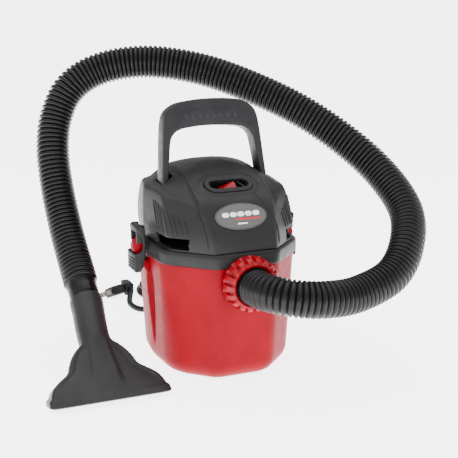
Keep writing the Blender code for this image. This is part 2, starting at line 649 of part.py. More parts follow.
# ------------------------------------------------------------------ inlet collar and hose
def build_collar():
    back = -COLLAR_Y[0]
    front = -COLLAR_Y[1]
    profile = [(COLLAR_R, back), (COLLAR_R - 1 * MM, front - 2 * MM), (COLLAR_R - 3.4 * MM, front),
               (COLLAR_BORE_R + 1.2 * MM, front), (COLLAR_BORE_R, front - 1.2 * MM), (COLLAR_BORE_R, back + 3 * MM),
               (BOSS_R + FIT, back + 3 * MM), (BOSS_R + FIT, back)]
    collar = turned("inlet_collar", [(r, -y) for r, y in profile], (0, 0, INLET_Z), "Y", 72)
    for tooth in range(COLLAR_TEETH):
        angle = 2 * pi * (tooth + 0.5) / COLLAR_TEETH
        at = Matrix.Translation((0, 0, INLET_Z)) @ Matrix.Rotation(angle, 4, "Y")
        notch = box(f"collar_notch_{tooth}", (-1.7 * MM, -front - 5 * MM, COLLAR_BORE_R + 3 * MM),
                    (1.7 * MM, -back - 3.5 * MM, COLLAR_R + 5 * MM), True, at)
        cut(collar, notch)
    finish(collar, RED, 0.35)
    pivot("collar_axis", (0, COLLAR_Y[0], INLET_Z), [collar])

    profile = ring_profile(COLLAR_BORE_R - FIT, BOSS_R - 1.2 * MM, COLLAR_Y[1], COLLAR_Y[0] - 3.4 * MM)
    cuff = turned("hose_cuff_inlet", profile, (0, 0, INLET_Z), "Y", 32)
    finish(cuff, BLACK)


def smooth_route(route, spacing):
    """Even points along a smooth curve through the route, with a straight lead at each end."""
    points = [Vector(p) * MM for p in route]
    fine = []
    for p0, p1, p2, p3 in zip(points, points[1:], points[2:], points[3:]):
        for step in range(12):
            t = step / 12
            fine.append(0.5 * ((2 * p1) + (p2 - p0) * t + (2 * p0 - 5 * p1 + 4 * p2 - p3) * t * t
                               + (3 * p1 - p0 - 3 * p2 + p3) * t * t * t))
    fine.append(points[-2])
    length = sum((b - a).length for a, b in zip(fine, fine[1:]))
    count = max(2, round(length / spacing))
    made = [fine[0]]
    target = length / count
    run = 0.0
    for a, b in zip(fine, fine[1:]):
        piece = (b - a).length
        while run + piece >= target * len(made) and len(made) < count:
            made.append(a.lerp(b, (target * len(made) - run) / piece))
        run += piece
    return [points[0]] + made + [fine[-1], points[-1]]


def tube(name, points, radius, resolution):
    curve = bpy.data.curves.new(name, "CURVE")
    curve.dimensions = "3D"
    curve.bevel_depth = radius
    curve.bevel_resolution = resolution
    curve.use_fill_caps = True
    spline = curve.splines.new("POLY")
    spline.points.add(len(points) - 1)
    for target, source in zip(spline.points, points):
        target.co = (*source, 1)
    return to_mesh(place(name, curve), name)


def build_hose():
    hose = tube("hose", smooth_route(HOSE_ROUTE, 42 * MM), HOSE_R, 4)
    finish(hose, BLACK, 0.5)


# ------------------------------------------------------------------ nozzle
def nozzle_ring(height, half_width, half_thick, power):
    """A ring across the nozzle: a circle at the tube, easing to a flat slot at the mouth."""
    ring = []
    for i in range(32):
        angle = 2 * pi * i / 32
        c, s = cos(angle), sin(angle)
        scale = (abs(c) ** power + abs(s) ** power) ** (-1 / power)
        ring.append((half_width * c * scale, half_thick * s * scale, height))
    return ring


def build_nozzle():
    r = NOZZLE_TUBE_R
    sections = [(0.0, MOUTH[0], MOUTH[1], 8), (14 * MM, MOUTH[0] - 3 * MM, MOUTH[1], 7),
                (26 * MM, MOUTH[0] - 11 * MM, MOUTH[1] + 0.5 * MM, 5), (42 * MM, 34 * MM, 13.5 * MM, 3.2),
                (58 * MM, 21 * MM, 15.5 * MM, 2.3), (72 * MM, r, r, 2), (112 * MM, r + 0.8 * MM, r + 0.8 * MM, 2)]
    outer = [nozzle_ring(*section) for section in sections]
    wall = NOZZLE_WALL
    inner = [nozzle_ring(h + (0.6 * MM if h > 100 * MM else -0.6 * MM if h == 0 else 0), w - wall, t - wall, p)
             for h, w, t, p in sections]
    inner[0] = nozzle_ring(-2 * MM, MOUTH[0] - wall, MOUTH[1] - wall, 8)
    inner[-1] = nozzle_ring(114 * MM, r - wall, r - wall, 2)
    lean = Matrix.Translation(MOUTH_AT) @ Matrix.Rotation(-NOZZLE_LEAN, 4, "X")
    raise_up = Matrix.Translation((0, 0, MOUTH[1] * sin(NOZZLE_LEAN) + 0.1 * MM))
    nozzle = stack("utility_nozzle", outer)
    bore = stack("nozzle_bore", inner, True)
    move(nozzle, raise_up @ lean)
    move(bore, raise_up @ lean)
    cut(nozzle, bore)
    finish(nozzle, CHARCOAL)

    cuff = turned("hose_cuff_nozzle", ring_profile(CUFF_R, r - wall, 112.4 * MM, 134 * MM), sides=32)
    move(cuff, raise_up @ lean)
    finish(cuff, BLACK)


# ------------------------------------------------------------------ motor and fan
def build_motor():
    at = (0, MOTOR_Y, 0)
    low = LID_TOP + FIT
    housing_top = low + HOUSING_H
    housing = turned("fan_housing", [
        (HOUSING_R, housing_top), (HOUSING_R, low), (23 * MM, low), (23 * MM, low + 2 * MM),
        (HOUSING_R - 2 * MM, low + 2 * MM), (HOUSING_R - 2 * MM, housing_top)], at, sides=48)
    finish(housing, BLACK)
    blade_low = low + 4 * MM
    impeller = turned("impeller", [
        (IMPELLER_R, blade_low + 8 * MM), (IMPELLER_R, blade_low), (20 * MM, blade_low), (20 * MM, blade_low + 6 * MM),
        (SHAFT_R + FIT, blade_low + 6 * MM), (SHAFT_R + FIT, blade_low + 8 * MM)], at, sides=40)
    finish(impeller, STEEL, 0.35, 1.0)
    plate_z = housing_top + FIT
    plate = turned("motor_plate", ring_profile(HOUSING_R, SHAFT_R + 1 * MM, plate_z, plate_z + PLATE_T), at, sides=48)
    finish(plate, STEEL, 0.4, 1.0)
    z = plate_z + PLATE_T + FIT
    lower = turned("bearing_lower", ring_profile(BEARING_R, SHAFT_R + FIT, z, z + 5 * MM), at, sides=28)
    finish(lower, STEEL, 0.25, 1.0)
    fan_z = z + 5 * MM + FIT
    fan = turned("cooling_fan", ring_profile(28 * MM, SHAFT_R + FIT, fan_z, fan_z + 3 * MM), at, sides=32)
    finish(fan, WHITE, 0.4)
    stator_z = fan_z + 4.5 * MM
    stator_top = stator_z + 24 * MM
    stator = turned("motor_stator", ring_profile(STATOR[0], STATOR[1], stator_z, stator_top), at, sides=40)
    finish(stator, STEEL, 0.5, 1.0)
    armature = turned("motor_armature", ring_profile(STATOR[1] - 0.8 * MM, SHAFT_R + FIT, stator_z, stator_top), at, sides=36)
    finish(armature, COPPER, 0.4, 1.0)
    comm_z = stator_top + FIT
    commutator = turned("commutator", ring_profile(9 * MM, SHAFT_R + FIT, comm_z, comm_z + 7 * MM), at, sides=28)
    finish(commutator, COPPER, 0.3, 1.0)
    for side, word in ((-1, "left"), (1, "right")):
        inner, outer = sorted((side * 9.3 * MM, side * 22 * MM))
        brush = box("brush_" + word, (inner, MOTOR_Y - 3 * MM, comm_z + 0.8 * MM),
                    (outer, MOTOR_Y + 3 * MM, comm_z + 6.2 * MM))
        finish(brush, BRASS, 0.5, 0.6)
    upper_z = comm_z + 7 * MM + FIT
    upper = turned("bearing_upper", ring_profile(BEARING_R, SHAFT_R + FIT, upper_z, upper_z + 5 * MM), at, sides=28)
    finish(upper, STEEL, 0.25, 1.0)
    shaft = cylinder("motor_shaft", SHAFT_R, blade_low - 1 * MM, upper_z + 5 * MM, at, sides=20)
    finish(shaft, STEEL, 0.25, 1.0)

    bar_z = upper_z + 5 * MM + FIT
    reach = STATOR[0] + 4 * MM
    bracket = box("motor_bracket", (-reach - 3 * MM, MOTOR_Y - 8 * MM, bar_z), (reach + 3 * MM, MOTOR_Y + 8 * MM, bar_z + 2.5 * MM))
    for side in (-1, 1):
        inner, outer = sorted((side * reach, side * (reach + 3 * MM)))
        leg = box(f"bracket_leg_{side}", (inner, MOTOR_Y - 8 * MM, plate_z + PLATE_T + FIT), (outer, MOTOR_Y + 8 * MM, bar_z + 1 * MM), True)
        cut(bracket, leg, "UNION")
    finish(bracket, STEEL, 0.4, 1.0)
    for number in range(4):
        angle = pi / 4 + number * pi / 2
        reach_out = HOUSING_R - 5 * MM
        spot = (reach_out * cos(angle), MOTOR_Y + reach_out * sin(angle), 0)
        screw = cylinder(f"plate_screw_{number + 1}", 3.6 * MM, plate_z + PLATE_T + FIT, plate_z + PLATE_T + 2.8 * MM, spot, sides=16)
        finish(screw, STEEL, 0.3, 1.0)
    return impeller, fan, armature, commutator, shaft


# ------------------------------------------------------------------ filter
def build_filter():
    at = (0, MOTOR_Y, 0)
    top = DECK_Z - FIT
    wall = 2 * MM
    cage = cylinder("filter_cage", CAGE_R, top - CAGE_H, top, at, sides=32)
    flange = cylinder("cage_flange", CAGE_R + 6 * MM, top - 2.4 * MM, top, at, sides=32, cutter=True)
    cut(cage, flange, "UNION")
    inside = cylinder("cage_inside", CAGE_R - wall, top - CAGE_H + wall, top + 5 * MM, at, sides=32, cutter=True)
    cut(cage, inside)
    for number in range(4):
        turn = Matrix.Translation(at) @ Matrix.Rotation(number * pi / 4, 4, "Z")
        slot = box(f"cage_slot_{number}", (-CAGE_R - 5 * MM, -6 * MM, top - CAGE_H + 8 * MM),
                   (CAGE_R + 5 * MM, 6 * MM, top - 10 * MM), True, turn)
        cut(cage, slot)
    finish(cage, BLACK)
    sleeve = turned("foam_sleeve", ring_profile(CAGE_R + FIT + SLEEVE_T, CAGE_R + FIT, top - CAGE_H + 1 * MM, top - 3 * MM), at, sides=32)
    finish(sleeve, FOAM, 0.95)
    bm = bmesh.new()
    bmesh.ops.create_uvsphere(bm, u_segments=20, v_segments=12, radius=FLOAT_R)
    bmesh.ops.translate(bm, vec=(0, MOTOR_Y, top - CAGE_H + wall + FIT + FLOAT_R), verts=bm.verts)
    ball = finish(from_bmesh("float_ball", bm), WHITE, 0.4)
    pivot("float_axis", (0, MOTOR_Y, top - CAGE_H + wall + FIT + FLOAT_R), [ball])


# ------------------------------------------------------------------ cord and plug
def build_cord():
    spacing = 2.4 * 2 * CORD_R
    finish(tube("power_cord", smooth_route(CORD_OUT_ROUTE, spacing), CORD_R, 2), BLACK, 0.5)
    finish(tube("power_cord_end", smooth_route(CORD_END_ROUTE, spacing), CORD_R, 2), BLACK, 0.5)
    coil = turned("power_cord_coil", ring_profile(COIL_MID_R + COIL_SECTION[0], COIL_MID_R - COIL_SECTION[0], 0.2 * MM, COIL_SECTION[1]),
                  (*COIL_AT, 0), sides=36)
    finish(coil, BLACK, 0.5)

    turn = Matrix.Rotation(PLUG_YAW, 4, "Z") @ Matrix.Rotation(PLUG_ROLL, 4, "X")
    yaw = Matrix.Translation(PLUG_AT) @ turn
    outline = [(-2, -4.2), (8, -4.6), (13, -9.6), (29, -10), (32, -7.5), (32, 7.5), (29, 10), (13, 9.6), (8, 4.6), (-2, 4.2)]
    plug = slab("power_plug", [(x * MM, y * MM) for x, y in outline], 12.4 * MM, bevel=1.4 * MM)
    move(plug, yaw)
    neck = box("plug_neck", (PLUG_AT[0] - 6 * MM, PLUG_AT[1] - 10 * MM, 1.2 * MM),
               (PLUG_AT[0] + 6 * MM, PLUG_AT[1] + 12 * MM, 18 * MM), True)
    cut(plug, neck, "UNION")
    for side in (-1, 1):
        blade = box(f"blade_{side}", (29 * MM, side * BLADE_PITCH / 2 - 0.8 * MM, -3.2 * MM),
                    (48 * MM, side * BLADE_PITCH / 2 + 0.8 * MM, 3.2 * MM), True, yaw)
        cut(plug, blade, "UNION")
    finish(plug, BLACK, 0.5)


# ------------------------------------------------------------------ assembly
build_tank()
build_lid()
switch_matrix, rocker = build_cover()
build_relief()
build_handle()
for latch_side, latch_word in ((-1, "left"), (1, "right")):
    build_latch(latch_side, latch_word)
build_collar()
build_hose()
build_nozzle()
rotor = build_motor()
build_filter()
build_cord()
pivot("switch_axis", switch_matrix @ Vector((0, 0, -5.5 * MM)), [rocker], Matrix.Rotation(SWITCH_TILT, 4, "X"))
pivot("rotor_axis", (0, MOTOR_Y, LID_TOP), rotor)
bpy.context.view_layer.update()
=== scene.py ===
# %% [markdown]
# # A small wet and dry shop vacuum
# This lesson dresses a finished CAD model. The red tank stands on the floor, the black motor head sits on
# it under a carry handle, a corrugated hose arches over the top and ends in a flared nozzle, and the mains
# lead lies wound behind the tank. The CAD pieces stay where they are: every new piece below is shaped in
# the same metres, rides on a CAD body by name and hides the plain solid it stands for.

from math import atan2, cos, pi, radians, sin

import bmesh
import bpy
from mathutils import Matrix, Vector


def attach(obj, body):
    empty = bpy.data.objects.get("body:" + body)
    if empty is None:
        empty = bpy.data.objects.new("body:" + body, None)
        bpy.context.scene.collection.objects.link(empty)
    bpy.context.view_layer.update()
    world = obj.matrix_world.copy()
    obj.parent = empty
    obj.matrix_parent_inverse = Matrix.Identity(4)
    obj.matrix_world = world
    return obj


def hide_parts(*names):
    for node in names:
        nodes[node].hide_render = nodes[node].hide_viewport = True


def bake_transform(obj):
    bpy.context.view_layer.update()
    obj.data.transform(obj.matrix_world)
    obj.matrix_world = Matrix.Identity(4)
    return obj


MM = 0.001
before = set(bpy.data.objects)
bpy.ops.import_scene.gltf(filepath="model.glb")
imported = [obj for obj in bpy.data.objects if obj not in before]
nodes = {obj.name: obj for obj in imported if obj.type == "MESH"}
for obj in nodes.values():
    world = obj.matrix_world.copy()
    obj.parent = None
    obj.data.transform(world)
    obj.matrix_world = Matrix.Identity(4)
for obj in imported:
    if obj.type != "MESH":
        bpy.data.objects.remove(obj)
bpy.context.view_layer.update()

# %% [markdown]
# ## Camera, floor and light
# A product shot stands on a pale floor that runs past the edges of the view. The camera is a fairly long
# lens, a little above the vacuum and to its left. One wide overhead softbox, a broad one from the left and
# a weak one from the right give the soft, even light that shows moulded plastic well.

# %% Camera
CAMERA_AT = Vector((-0.40393, -0.99510, 0.41359))
CAMERA_AIM = Vector((0.01565, -0.00664, 0.14585))
camera = bpy.data.objects.new("camera", bpy.data.cameras.new("camera"))
camera.data.lens = 78.7
camera.data.sensor_width = 36.0
camera.location = CAMERA_AT
camera.rotation_mode = "QUATERNION"
camera.rotation_quaternion = (CAMERA_AIM - CAMERA_AT).to_track_quat("-Z", "Y")
bpy.context.scene.collection.objects.link(camera)
bpy.context.scene.camera = camera
print("camera distance:", round((CAMERA_AIM - CAMERA_AT).length, 3), "m")


# %% Lights
def softbox(name, at, aim, size, power, colour=(1, 1, 1)):
    """A rectangular area light that faces the point aim."""
    lamp = bpy.data.lights.new(name, "AREA")
    lamp.shape = "RECTANGLE"
    lamp.size, lamp.size_y = size
    lamp.energy = power
    lamp.color = colour
    obj = bpy.data.objects.new(name, lamp)
    obj.location = at
    obj.rotation_mode = "QUATERNION"
    obj.rotation_quaternion = (Vector(aim) - Vector(at)).to_track_quat("-Z", "Y")
    bpy.context.scene.collection.objects.link(obj)
    return obj


MIDDLE = (0, 0, 0.13)
softbox("overhead_softbox", (-0.1, 0.1, 1.5), MIDDLE, (1.8, 1.8), 24)
softbox("left_softbox", (-1.3, -0.7, 0.75), MIDDLE, (1.1, 1.3), 5)
softbox("right_softbox", (1.3, -0.5, 0.8), MIDDLE, (0.9, 1.2), 4)
softbox("front_softbox", (-0.3, -1.9, 0.9), MIDDLE, (1.4, 0.9), 4)
world = bpy.data.worlds.new("studio")
world.use_nodes = True
world.node_tree.nodes["Background"].inputs["Color"].default_value = (1, 1, 1, 1)
world.node_tree.nodes["Background"].inputs["Strength"].default_value = 0.9
bpy.context.scene.world = world

# %% [markdown]
# ## Material helpers
# All finishes are procedural. One function turns an sRGB hex colour into the linear numbers that shaders
# use, and one adds a node with its settings and links. Patterns read Object coordinates, which are the real
# millimetres of the piece, because every finished piece sits at the origin, unturned and unscaled.


# %% Colour and node helpers
def srgb(hex_colour):
    """Linear red, green, blue and alpha of an sRGB hex colour."""
    parts = [int(hex_colour[i : i + 2], 16) / 255 for i in (1, 3, 5)]
    linear = [c / 12.92 if c <= 0.04045 else ((c + 0.055) / 1.055) ** 2.4 for c in parts]
    return (*linear, 1.0)


def add(tree, kind, links=None, inputs=None, **settings):
    """Add one node: settings are its properties, inputs its own values, links the sockets that feed it."""
    node = tree.nodes.new("ShaderNode" + kind)
    for key, value in settings.items():
        setattr(node, key, value)
    for key, value in (inputs or {}).items():
        node.inputs[key].default_value = value
    for key, socket in (links or {}).items():
        tree.links.new(socket, node.inputs[key])
    return node


def ramp(tree, factor, stops):
    """A colour ramp fed by a factor, with (place, colour) stops."""
    node = add(tree, "ValToRGB", {"Fac": factor})
    band = node.color_ramp
    for number, (place, colour) in enumerate(stops):
        stop = band.elements[number] if number < 2 else band.elements.new(place)
        stop.position = place
        stop.color = colour
    return node.outputs["Color"]


def per_metre(size_in_mm):
    """Texture scale whose features are about this many millimetres across."""
    return 1.0 / (size_in_mm * MM)


# %% [markdown]
# ## Moulded plastics
# Most of this vacuum is injection moulded. Polypropylene (tank, nozzle) is waxy and softly glossy, ABS
# (head, collar) is harder and shows a spark-eroded grain or a polish. The same recipe serves them all: a
# base colour that drifts a few percent over centimetres, a fine grain in the bump, and a roughness that
# varies slightly so that highlights break up as they do on a handled part.


# %% A moulded plastic
SHEEN = 0.2      # of the plastics: low, because a white studio would otherwise veil every dark surface


def moulded(name, hex_colour, hex_shade, roughness, grain_mm, grain, drift_mm=40.0, coat=0.0, scuff=0.06,
            sheen=SHEEN):
    """Plastic with a slow colour drift, a moulded grain and slightly uneven gloss."""
    made = bpy.data.materials.new(name)
    made.use_nodes = True
    tree = made.node_tree
    shader = tree.nodes["Principled BSDF"]
    shader.inputs["IOR"].default_value = 1.5
    shader.inputs["Specular IOR Level"].default_value = sheen
    shader.inputs["Coat Weight"].default_value = coat
    shader.inputs["Coat Roughness"].default_value = 0.12
    where = add(tree, "TexCoord").outputs["Object"]
    drift = add(tree, "TexNoise", {"Vector": where}, {"Scale": per_metre(drift_mm), "Detail": 3.0})
    colour = ramp(tree, drift.outputs["Fac"], [(0.35, srgb(hex_shade)), (0.62, srgb(hex_colour))])
    tree.links.new(colour, shader.inputs["Base Color"])
    wear = add(tree, "TexNoise", {"Vector": where}, {"Scale": per_metre(drift_mm * 0.22), "Detail": 6.0})
    gloss = add(tree, "MapRange", {"Value": wear.outputs["Fac"]},
                {"From Min": 0.3, "From Max": 0.7, "To Min": roughness - scuff, "To Max": roughness + scuff})
    tree.links.new(gloss.outputs["Result"], shader.inputs["Roughness"])
    fine = add(tree, "TexNoise", {"Vector": where}, {"Scale": per_metre(grain_mm), "Detail": 2.0})
    bump = add(tree, "Bump", {"Height": fine.outputs["Fac"]}, {"Strength": grain, "Distance": 0.0002})
    tree.links.new(bump.outputs["Normal"], shader.inputs["Normal"])
    return made


# Waxy tank red: a soft gloss and a faint orange-peel from the mould. The grain is drawn at 1.2 mm, coarser
# than the real 0.3 mm, so that it shows at all.
tank_red = moulded("polypropylene_tank_red", "#860014", "#7A0011", 0.46, 1.2, 0.10, sheen=0.07)
# Polished ABS in a purer red, for the pieces that a hand should find: collar and switch.
trim_red = moulded("abs_trim_red", "#920014", "#850011", 0.26, 1.5, 0.05, coat=0.08, scuff=0.04)
# Spark-eroded ABS: an even charcoal with a sandy grain that turns highlights into a broad sheen.
head_black = moulded("textured_abs_charcoal", "#212122", "#1C1C1D", 0.46, 0.8, 0.32)
lid_black = moulded("textured_abs_lid_charcoal", "#1F1F20", "#1A1A1B", 0.44, 0.8, 0.28)
handle_black = moulded("textured_abs_handle", "#222224", "#1D1D1F", 0.42, 0.8, 0.30, scuff=0.09)
nozzle_black = moulded("polypropylene_nozzle_charcoal", "#282729", "#222123", 0.42, 1.0, 0.22)
# Blown polyethylene hose: near black with a soft shine on the crests.
hose_black = moulded("blown_polyethylene_black", "#0F0F11", "#0B0B0D", 0.34, 1.4, 0.12, scuff=0.10)
# Soft PVC of the mains lead and its fittings.
cord_black = moulded("soft_pvc_black", "#0F0F10", "#0B0B0C", 0.46, 0.9, 0.15)
plug_black = moulded("moulded_pvc_plug", "#1A1A1B", "#151516", 0.42, 1.0, 0.15)
inner_black = moulded("glass_filled_nylon_black", "#101011", "#0C0C0D", 0.6, 0.7, 0.4)
white_nylon = moulded("white_polypropylene", "#E6E4DD", "#DCDAD2", 0.38, 1.5, 0.08)
print("plastics:", len(bpy.data.materials))

# %% [markdown]
# ## Metals, foam and the printed label
# Inside the head is a small universal motor: laminated steel, copper windings, an aluminium fan. Each
# metal keeps a metallic value of 1 and the default IOR. Its character comes from how it was worked, so a
# wave texture along the right axis stands for lamination edges, turned rings or wound wire.


# %% A worked metal
def worked_metal(name, hex_colour, hex_dark, roughness, line_mm, direction, depth, rings=False):
    """Metal with fine lines left by turning, stacking or winding."""
    made = bpy.data.materials.new(name)
    made.use_nodes = True
    tree = made.node_tree
    shader = tree.nodes["Principled BSDF"]
    shader.inputs["Metallic"].default_value = 1.0
    where = add(tree, "TexCoord").outputs["Object"]
    kind = {"wave_type": "RINGS", "rings_direction": direction} if rings else {
        "wave_type": "BANDS", "bands_direction": direction}
    lines = add(tree, "TexWave", {"Vector": where},
                {"Scale": per_metre(line_mm) / 20, "Distortion": 0.6, "Detail": 2.0}, **kind)
    colour = ramp(tree, lines.outputs["Fac"], [(0.2, srgb(hex_dark)), (0.8, srgb(hex_colour))])
    tree.links.new(colour, shader.inputs["Base Color"])
    cloudy = add(tree, "TexNoise", {"Vector": where}, {"Scale": per_metre(6.0), "Detail": 4.0})
    gloss = add(tree, "MapRange", {"Value": cloudy.outputs["Fac"]},
                {"To Min": roughness - 0.08, "To Max": roughness + 0.10})
    tree.links.new(gloss.outputs["Result"], shader.inputs["Roughness"])
    bump = add(tree, "Bump", {"Height": lines.outputs["Fac"]}, {"Strength": depth, "Distance": 0.0003})
    tree.links.new(bump.outputs["Normal"], shader.inputs["Normal"])
    return made


laminated_steel = worked_metal("laminated_steel", "#8E8F93", "#5C5D60", 0.42, 1.0, "Z", 0.5)
bright_steel = worked_metal("turned_steel", "#B9BABD", "#9C9DA0", 0.25, 0.8, "Z", 0.15)
zinc_steel = worked_metal("zinc_plated_steel", "#B5B6B4", "#A2A39F", 0.34, 2.0, "X", 0.08)
cast_aluminium = worked_metal("cast_aluminium", "#C9CACC", "#B4B5B8", 0.38, 1.6, "Z", 0.15, rings=True)
wound_copper = worked_metal("enamelled_copper_wire", "#C4713F", "#6E3318", 0.32, 0.9, "X", 0.6)
carbon_brush = worked_metal("carbon_brush", "#4A4642", "#35322F", 0.6, 1.2, "X", 0.2)
nickel_brass = worked_metal("nickel_plated_brass", "#8E8B82", "#7B786F", 0.34, 1.2, "X", 0.06)


# %% Open-cell foam
def foam(name, hex_colour, pore_shade_hex, cell_mm):
    """Matte foam: rounded cells, with painted shade in the pores between them."""
    made = bpy.data.materials.new(name)
    made.use_nodes = True
    tree = made.node_tree
    shader = tree.nodes["Principled BSDF"]
    shader.inputs["Roughness"].default_value = 0.95
    where = add(tree, "TexCoord").outputs["Object"]
    cells = add(tree, "TexVoronoi", {"Vector": where}, {"Scale": per_metre(cell_mm)})
    # The pores are real hollows in the bump, but their dark colour is painted shade that stands for the shade inside
    # the open cells.
    colour = ramp(tree, cells.outputs["Distance"], [(0.15, srgb(pore_shade_hex)), (0.55, srgb(hex_colour))])
    tree.links.new(colour, shader.inputs["Base Color"])
    bump = add(tree, "Bump", {"Height": cells.outputs["Distance"]}, {"Strength": 0.9, "Distance": 0.0006})
    tree.links.new(bump.outputs["Normal"], shader.inputs["Normal"])
    return made


# The second colour is the painted shade of the pores.
filter_foam = foam("open_cell_polyurethane_foam", "#3C3D42", "#151517", 1.6)
seal_rubber = moulded("sponge_rubber_seal", "#2B2B2D", "#232325", 0.8, 0.8, 0.5)


# %% A printed film with a dot screen
def printed_film(name, hex_ground, hex_dot, dot_mm):
    """Grey polyester film printed with a fine dot screen under a clear lacquer."""
    made = bpy.data.materials.new(name)
    made.use_nodes = True
    tree = made.node_tree
    shader = tree.nodes["Principled BSDF"]
    shader.inputs["Roughness"].default_value = 0.32
    shader.inputs["Coat Weight"].default_value = 0.4
    where = add(tree, "TexCoord").outputs["Object"]
    dots = add(tree, "TexVoronoi", {"Vector": where}, {"Scale": per_metre(dot_mm), "Randomness": 0.0})
    colour = ramp(tree, dots.outputs["Distance"], [(0.28, srgb(hex_dot)), (0.45, srgb(hex_ground))])
    tree.links.new(colour, shader.inputs["Base Color"])
    return made


label_film = printed_film("printed_polyester_film", "#565354", "#403E3F", 1.3)
label_white = moulded("screen_print_white", "#F0EFEC", "#E4E3DF", 0.35, 2.0, 0.03)
label_red = moulded("screen_print_red", "#D81F33", "#C9182B", 0.35, 2.0, 0.03)
print("finishes in all:", len(bpy.data.materials))

# %% [markdown]
# ## Finishing a piece
# Every new piece ends the same way: its bmesh becomes a mesh at the origin, its faces are shaded smooth
# with sharp edges kept by angle, it gets its finish, and it rides on its body. One function does that and
# prints what it made, so that no piece is left behind in a pose.


# %% The finishing function
def finish(name, bm, finish_material, body, stands_for=(), wall=0.0, angle=32):
    """Turn a bmesh into a finished piece; wall is a shell's thickness, grown inwards."""
    bmesh.ops.remove_doubles(bm, verts=bm.verts, dist=0.00001)
    bmesh.ops.recalc_face_normals(bm, faces=bm.faces)
    mesh = bpy.data.meshes.new(name)
    bm.to_mesh(mesh)
    bm.free()
    obj = bpy.data.objects.new(name, mesh)
    bpy.context.scene.collection.objects.link(obj)
    if wall:
        shell = obj.modifiers.new("wall", "SOLIDIFY")
        shell.thickness = wall
        shell.offset = -1
        shell.use_even_offset = True
        bpy.context.view_layer.update()
        graph = bpy.context.evaluated_depsgraph_get()
        thick = bpy.data.meshes.new_from_object(obj.evaluated_get(graph))
        obj.modifiers.clear()
        obj.data = thick
        mesh = thick
    mesh.shade_smooth()
    mesh.set_sharp_from_angle(angle=radians(angle))
    mesh.materials.clear()
    mesh.materials.append(finish_material)
    if body:
        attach(obj, body)
    if stands_for:
        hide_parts(*stands_for)
    print(name, "has", len(mesh.polygons), "faces")
    return obj


def verts_of(result, key="geom"):
    return [item for item in result[key] if isinstance(item, bmesh.types.BMVert)]


def edges_of(result, key="geom"):
    return [item for item in result[key] if isinstance(item, bmesh.types.BMEdge)]


def soften(bm, width, segments=3, sharper_than=40, only=None):
    """Round the sharp edges of a bmesh."""
    bm.edges.ensure_lookup_table()
    bm.normal_update()
    chosen = [e for e in bm.edges if len(e.link_faces) == 2
              and e.calc_face_angle(0) > radians(sharper_than) and (only is None or only(e))]
    bmesh.ops.bevel(bm, geom=chosen, offset=width, offset_type="OFFSET", segments=segments, profile=0.5,
                    affect="EDGES", clamp_overlap=True, material=-1)
    return bm


# %% [markdown]
# ## The hose
# The hose is blow-moulded polyethylene with a ridge every 5 mm or so. It could be a curve with a bevel,
# but a bevel has no ridges, so one long zigzag line is spun into a straight corrugated tube, and then
# every point is carried onto the hose's route. The route leaves the tank's front, swings out to the right,
# arches over behind the handle and comes down on the left to the nozzle.

# %% The hose's route
HOSE_ROUTE = [
    (0, -112.4, 111), (0, -124, 111), (5, -140, 111), (22, -156, 109), (52, -163, 106), (93, -157, 105),
    (140, -146, 117), (170, -125, 142), (188, -92, 170), (183, -50, 202), (158, -12, 235),
    (118, 26, 268), (70, 70, 295), (22, 108, 313), (-32, 136, 320), (-82, 150, 312),
    (-118, 151, 291), (-137, 146, 258), (-145, 134, 222), (-146, 114, 180), (-145, 84, 139),
    (-144, 54.8, 110.6), (-144, 43, 101.4), (-144, 31.2, 92.1),
]
HOSE_R = 19 * MM


def smooth_line(route, spacing):
    """Even points along a Catmull-Rom curve through a route given in millimetres."""
    knots = [Vector(p) * MM for p in route]
    knots = [2 * knots[0] - knots[1]] + knots + [2 * knots[-1] - knots[-2]]
    fine = []
    for a, b, c, d in zip(knots, knots[1:], knots[2:], knots[3:]):
        for step in range(24):
            t = step / 24
            fine.append(0.5 * (2 * b + (c - a) * t + (2 * a - 5 * b + 4 * c - d) * t * t
                               + (3 * b - a - 3 * c + d) * t ** 3))
    fine.append(knots[-2])
    total = line_length(fine)
    count = max(2, round(total / spacing))
    even, run = [fine[0]], 0.0
    for a, b in zip(fine, fine[1:]):
        piece = (b - a).length
        while len(even) < count and run + piece >= total * len(even) / count:
            even.append(a.lerp(b, (total * len(even) / count - run) / piece))
        run += piece
    return even + [fine[-1]]


def line_length(points):
    return sum((b - a).length for a, b in zip(points, points[1:]))


hose_line = smooth_line(HOSE_ROUTE, 5 * MM)
hose_length = line_length(hose_line)
print("hose length:", round(hose_length, 3), "m")


# %% Frames that follow a line without twisting
def frames_along(points):
    """Point, direction, side and up at each point of a line, turned as little as possible."""
    found = []
    side = None
    for number, here in enumerate(points):
        before = points[max(number - 1, 0)]
        after = points[min(number + 1, len(points) - 1)]
        ahead = (after - before).normalized()
        if side is None:
            side = ahead.orthogonal().normalized()
        side = (side - ahead * side.dot(ahead)).normalized()
        found.append((here, ahead, side, ahead.cross(side)))
    return found


def bend_onto(bm, points):
    """Carry a tube that stands along +Z, of the line's length, onto the line."""
    frames = frames_along(points)
    steps = [0.0]
    for a, b in zip(points, points[1:]):
        steps.append(steps[-1] + (b - a).length)
    last = len(points) - 1
    for vert in bm.verts:
        share = min(max(vert.co.z / steps[-1], 0.0), 1.0) * last
        low = min(int(share), last - 1)
        part = share - low
        here, ahead, side, up = [u.lerp(v, part) for u, v in zip(frames[low], frames[low + 1])]
        vert.co = here + side.normalized() * vert.co.x + up.normalized() * vert.co.y
    return bm


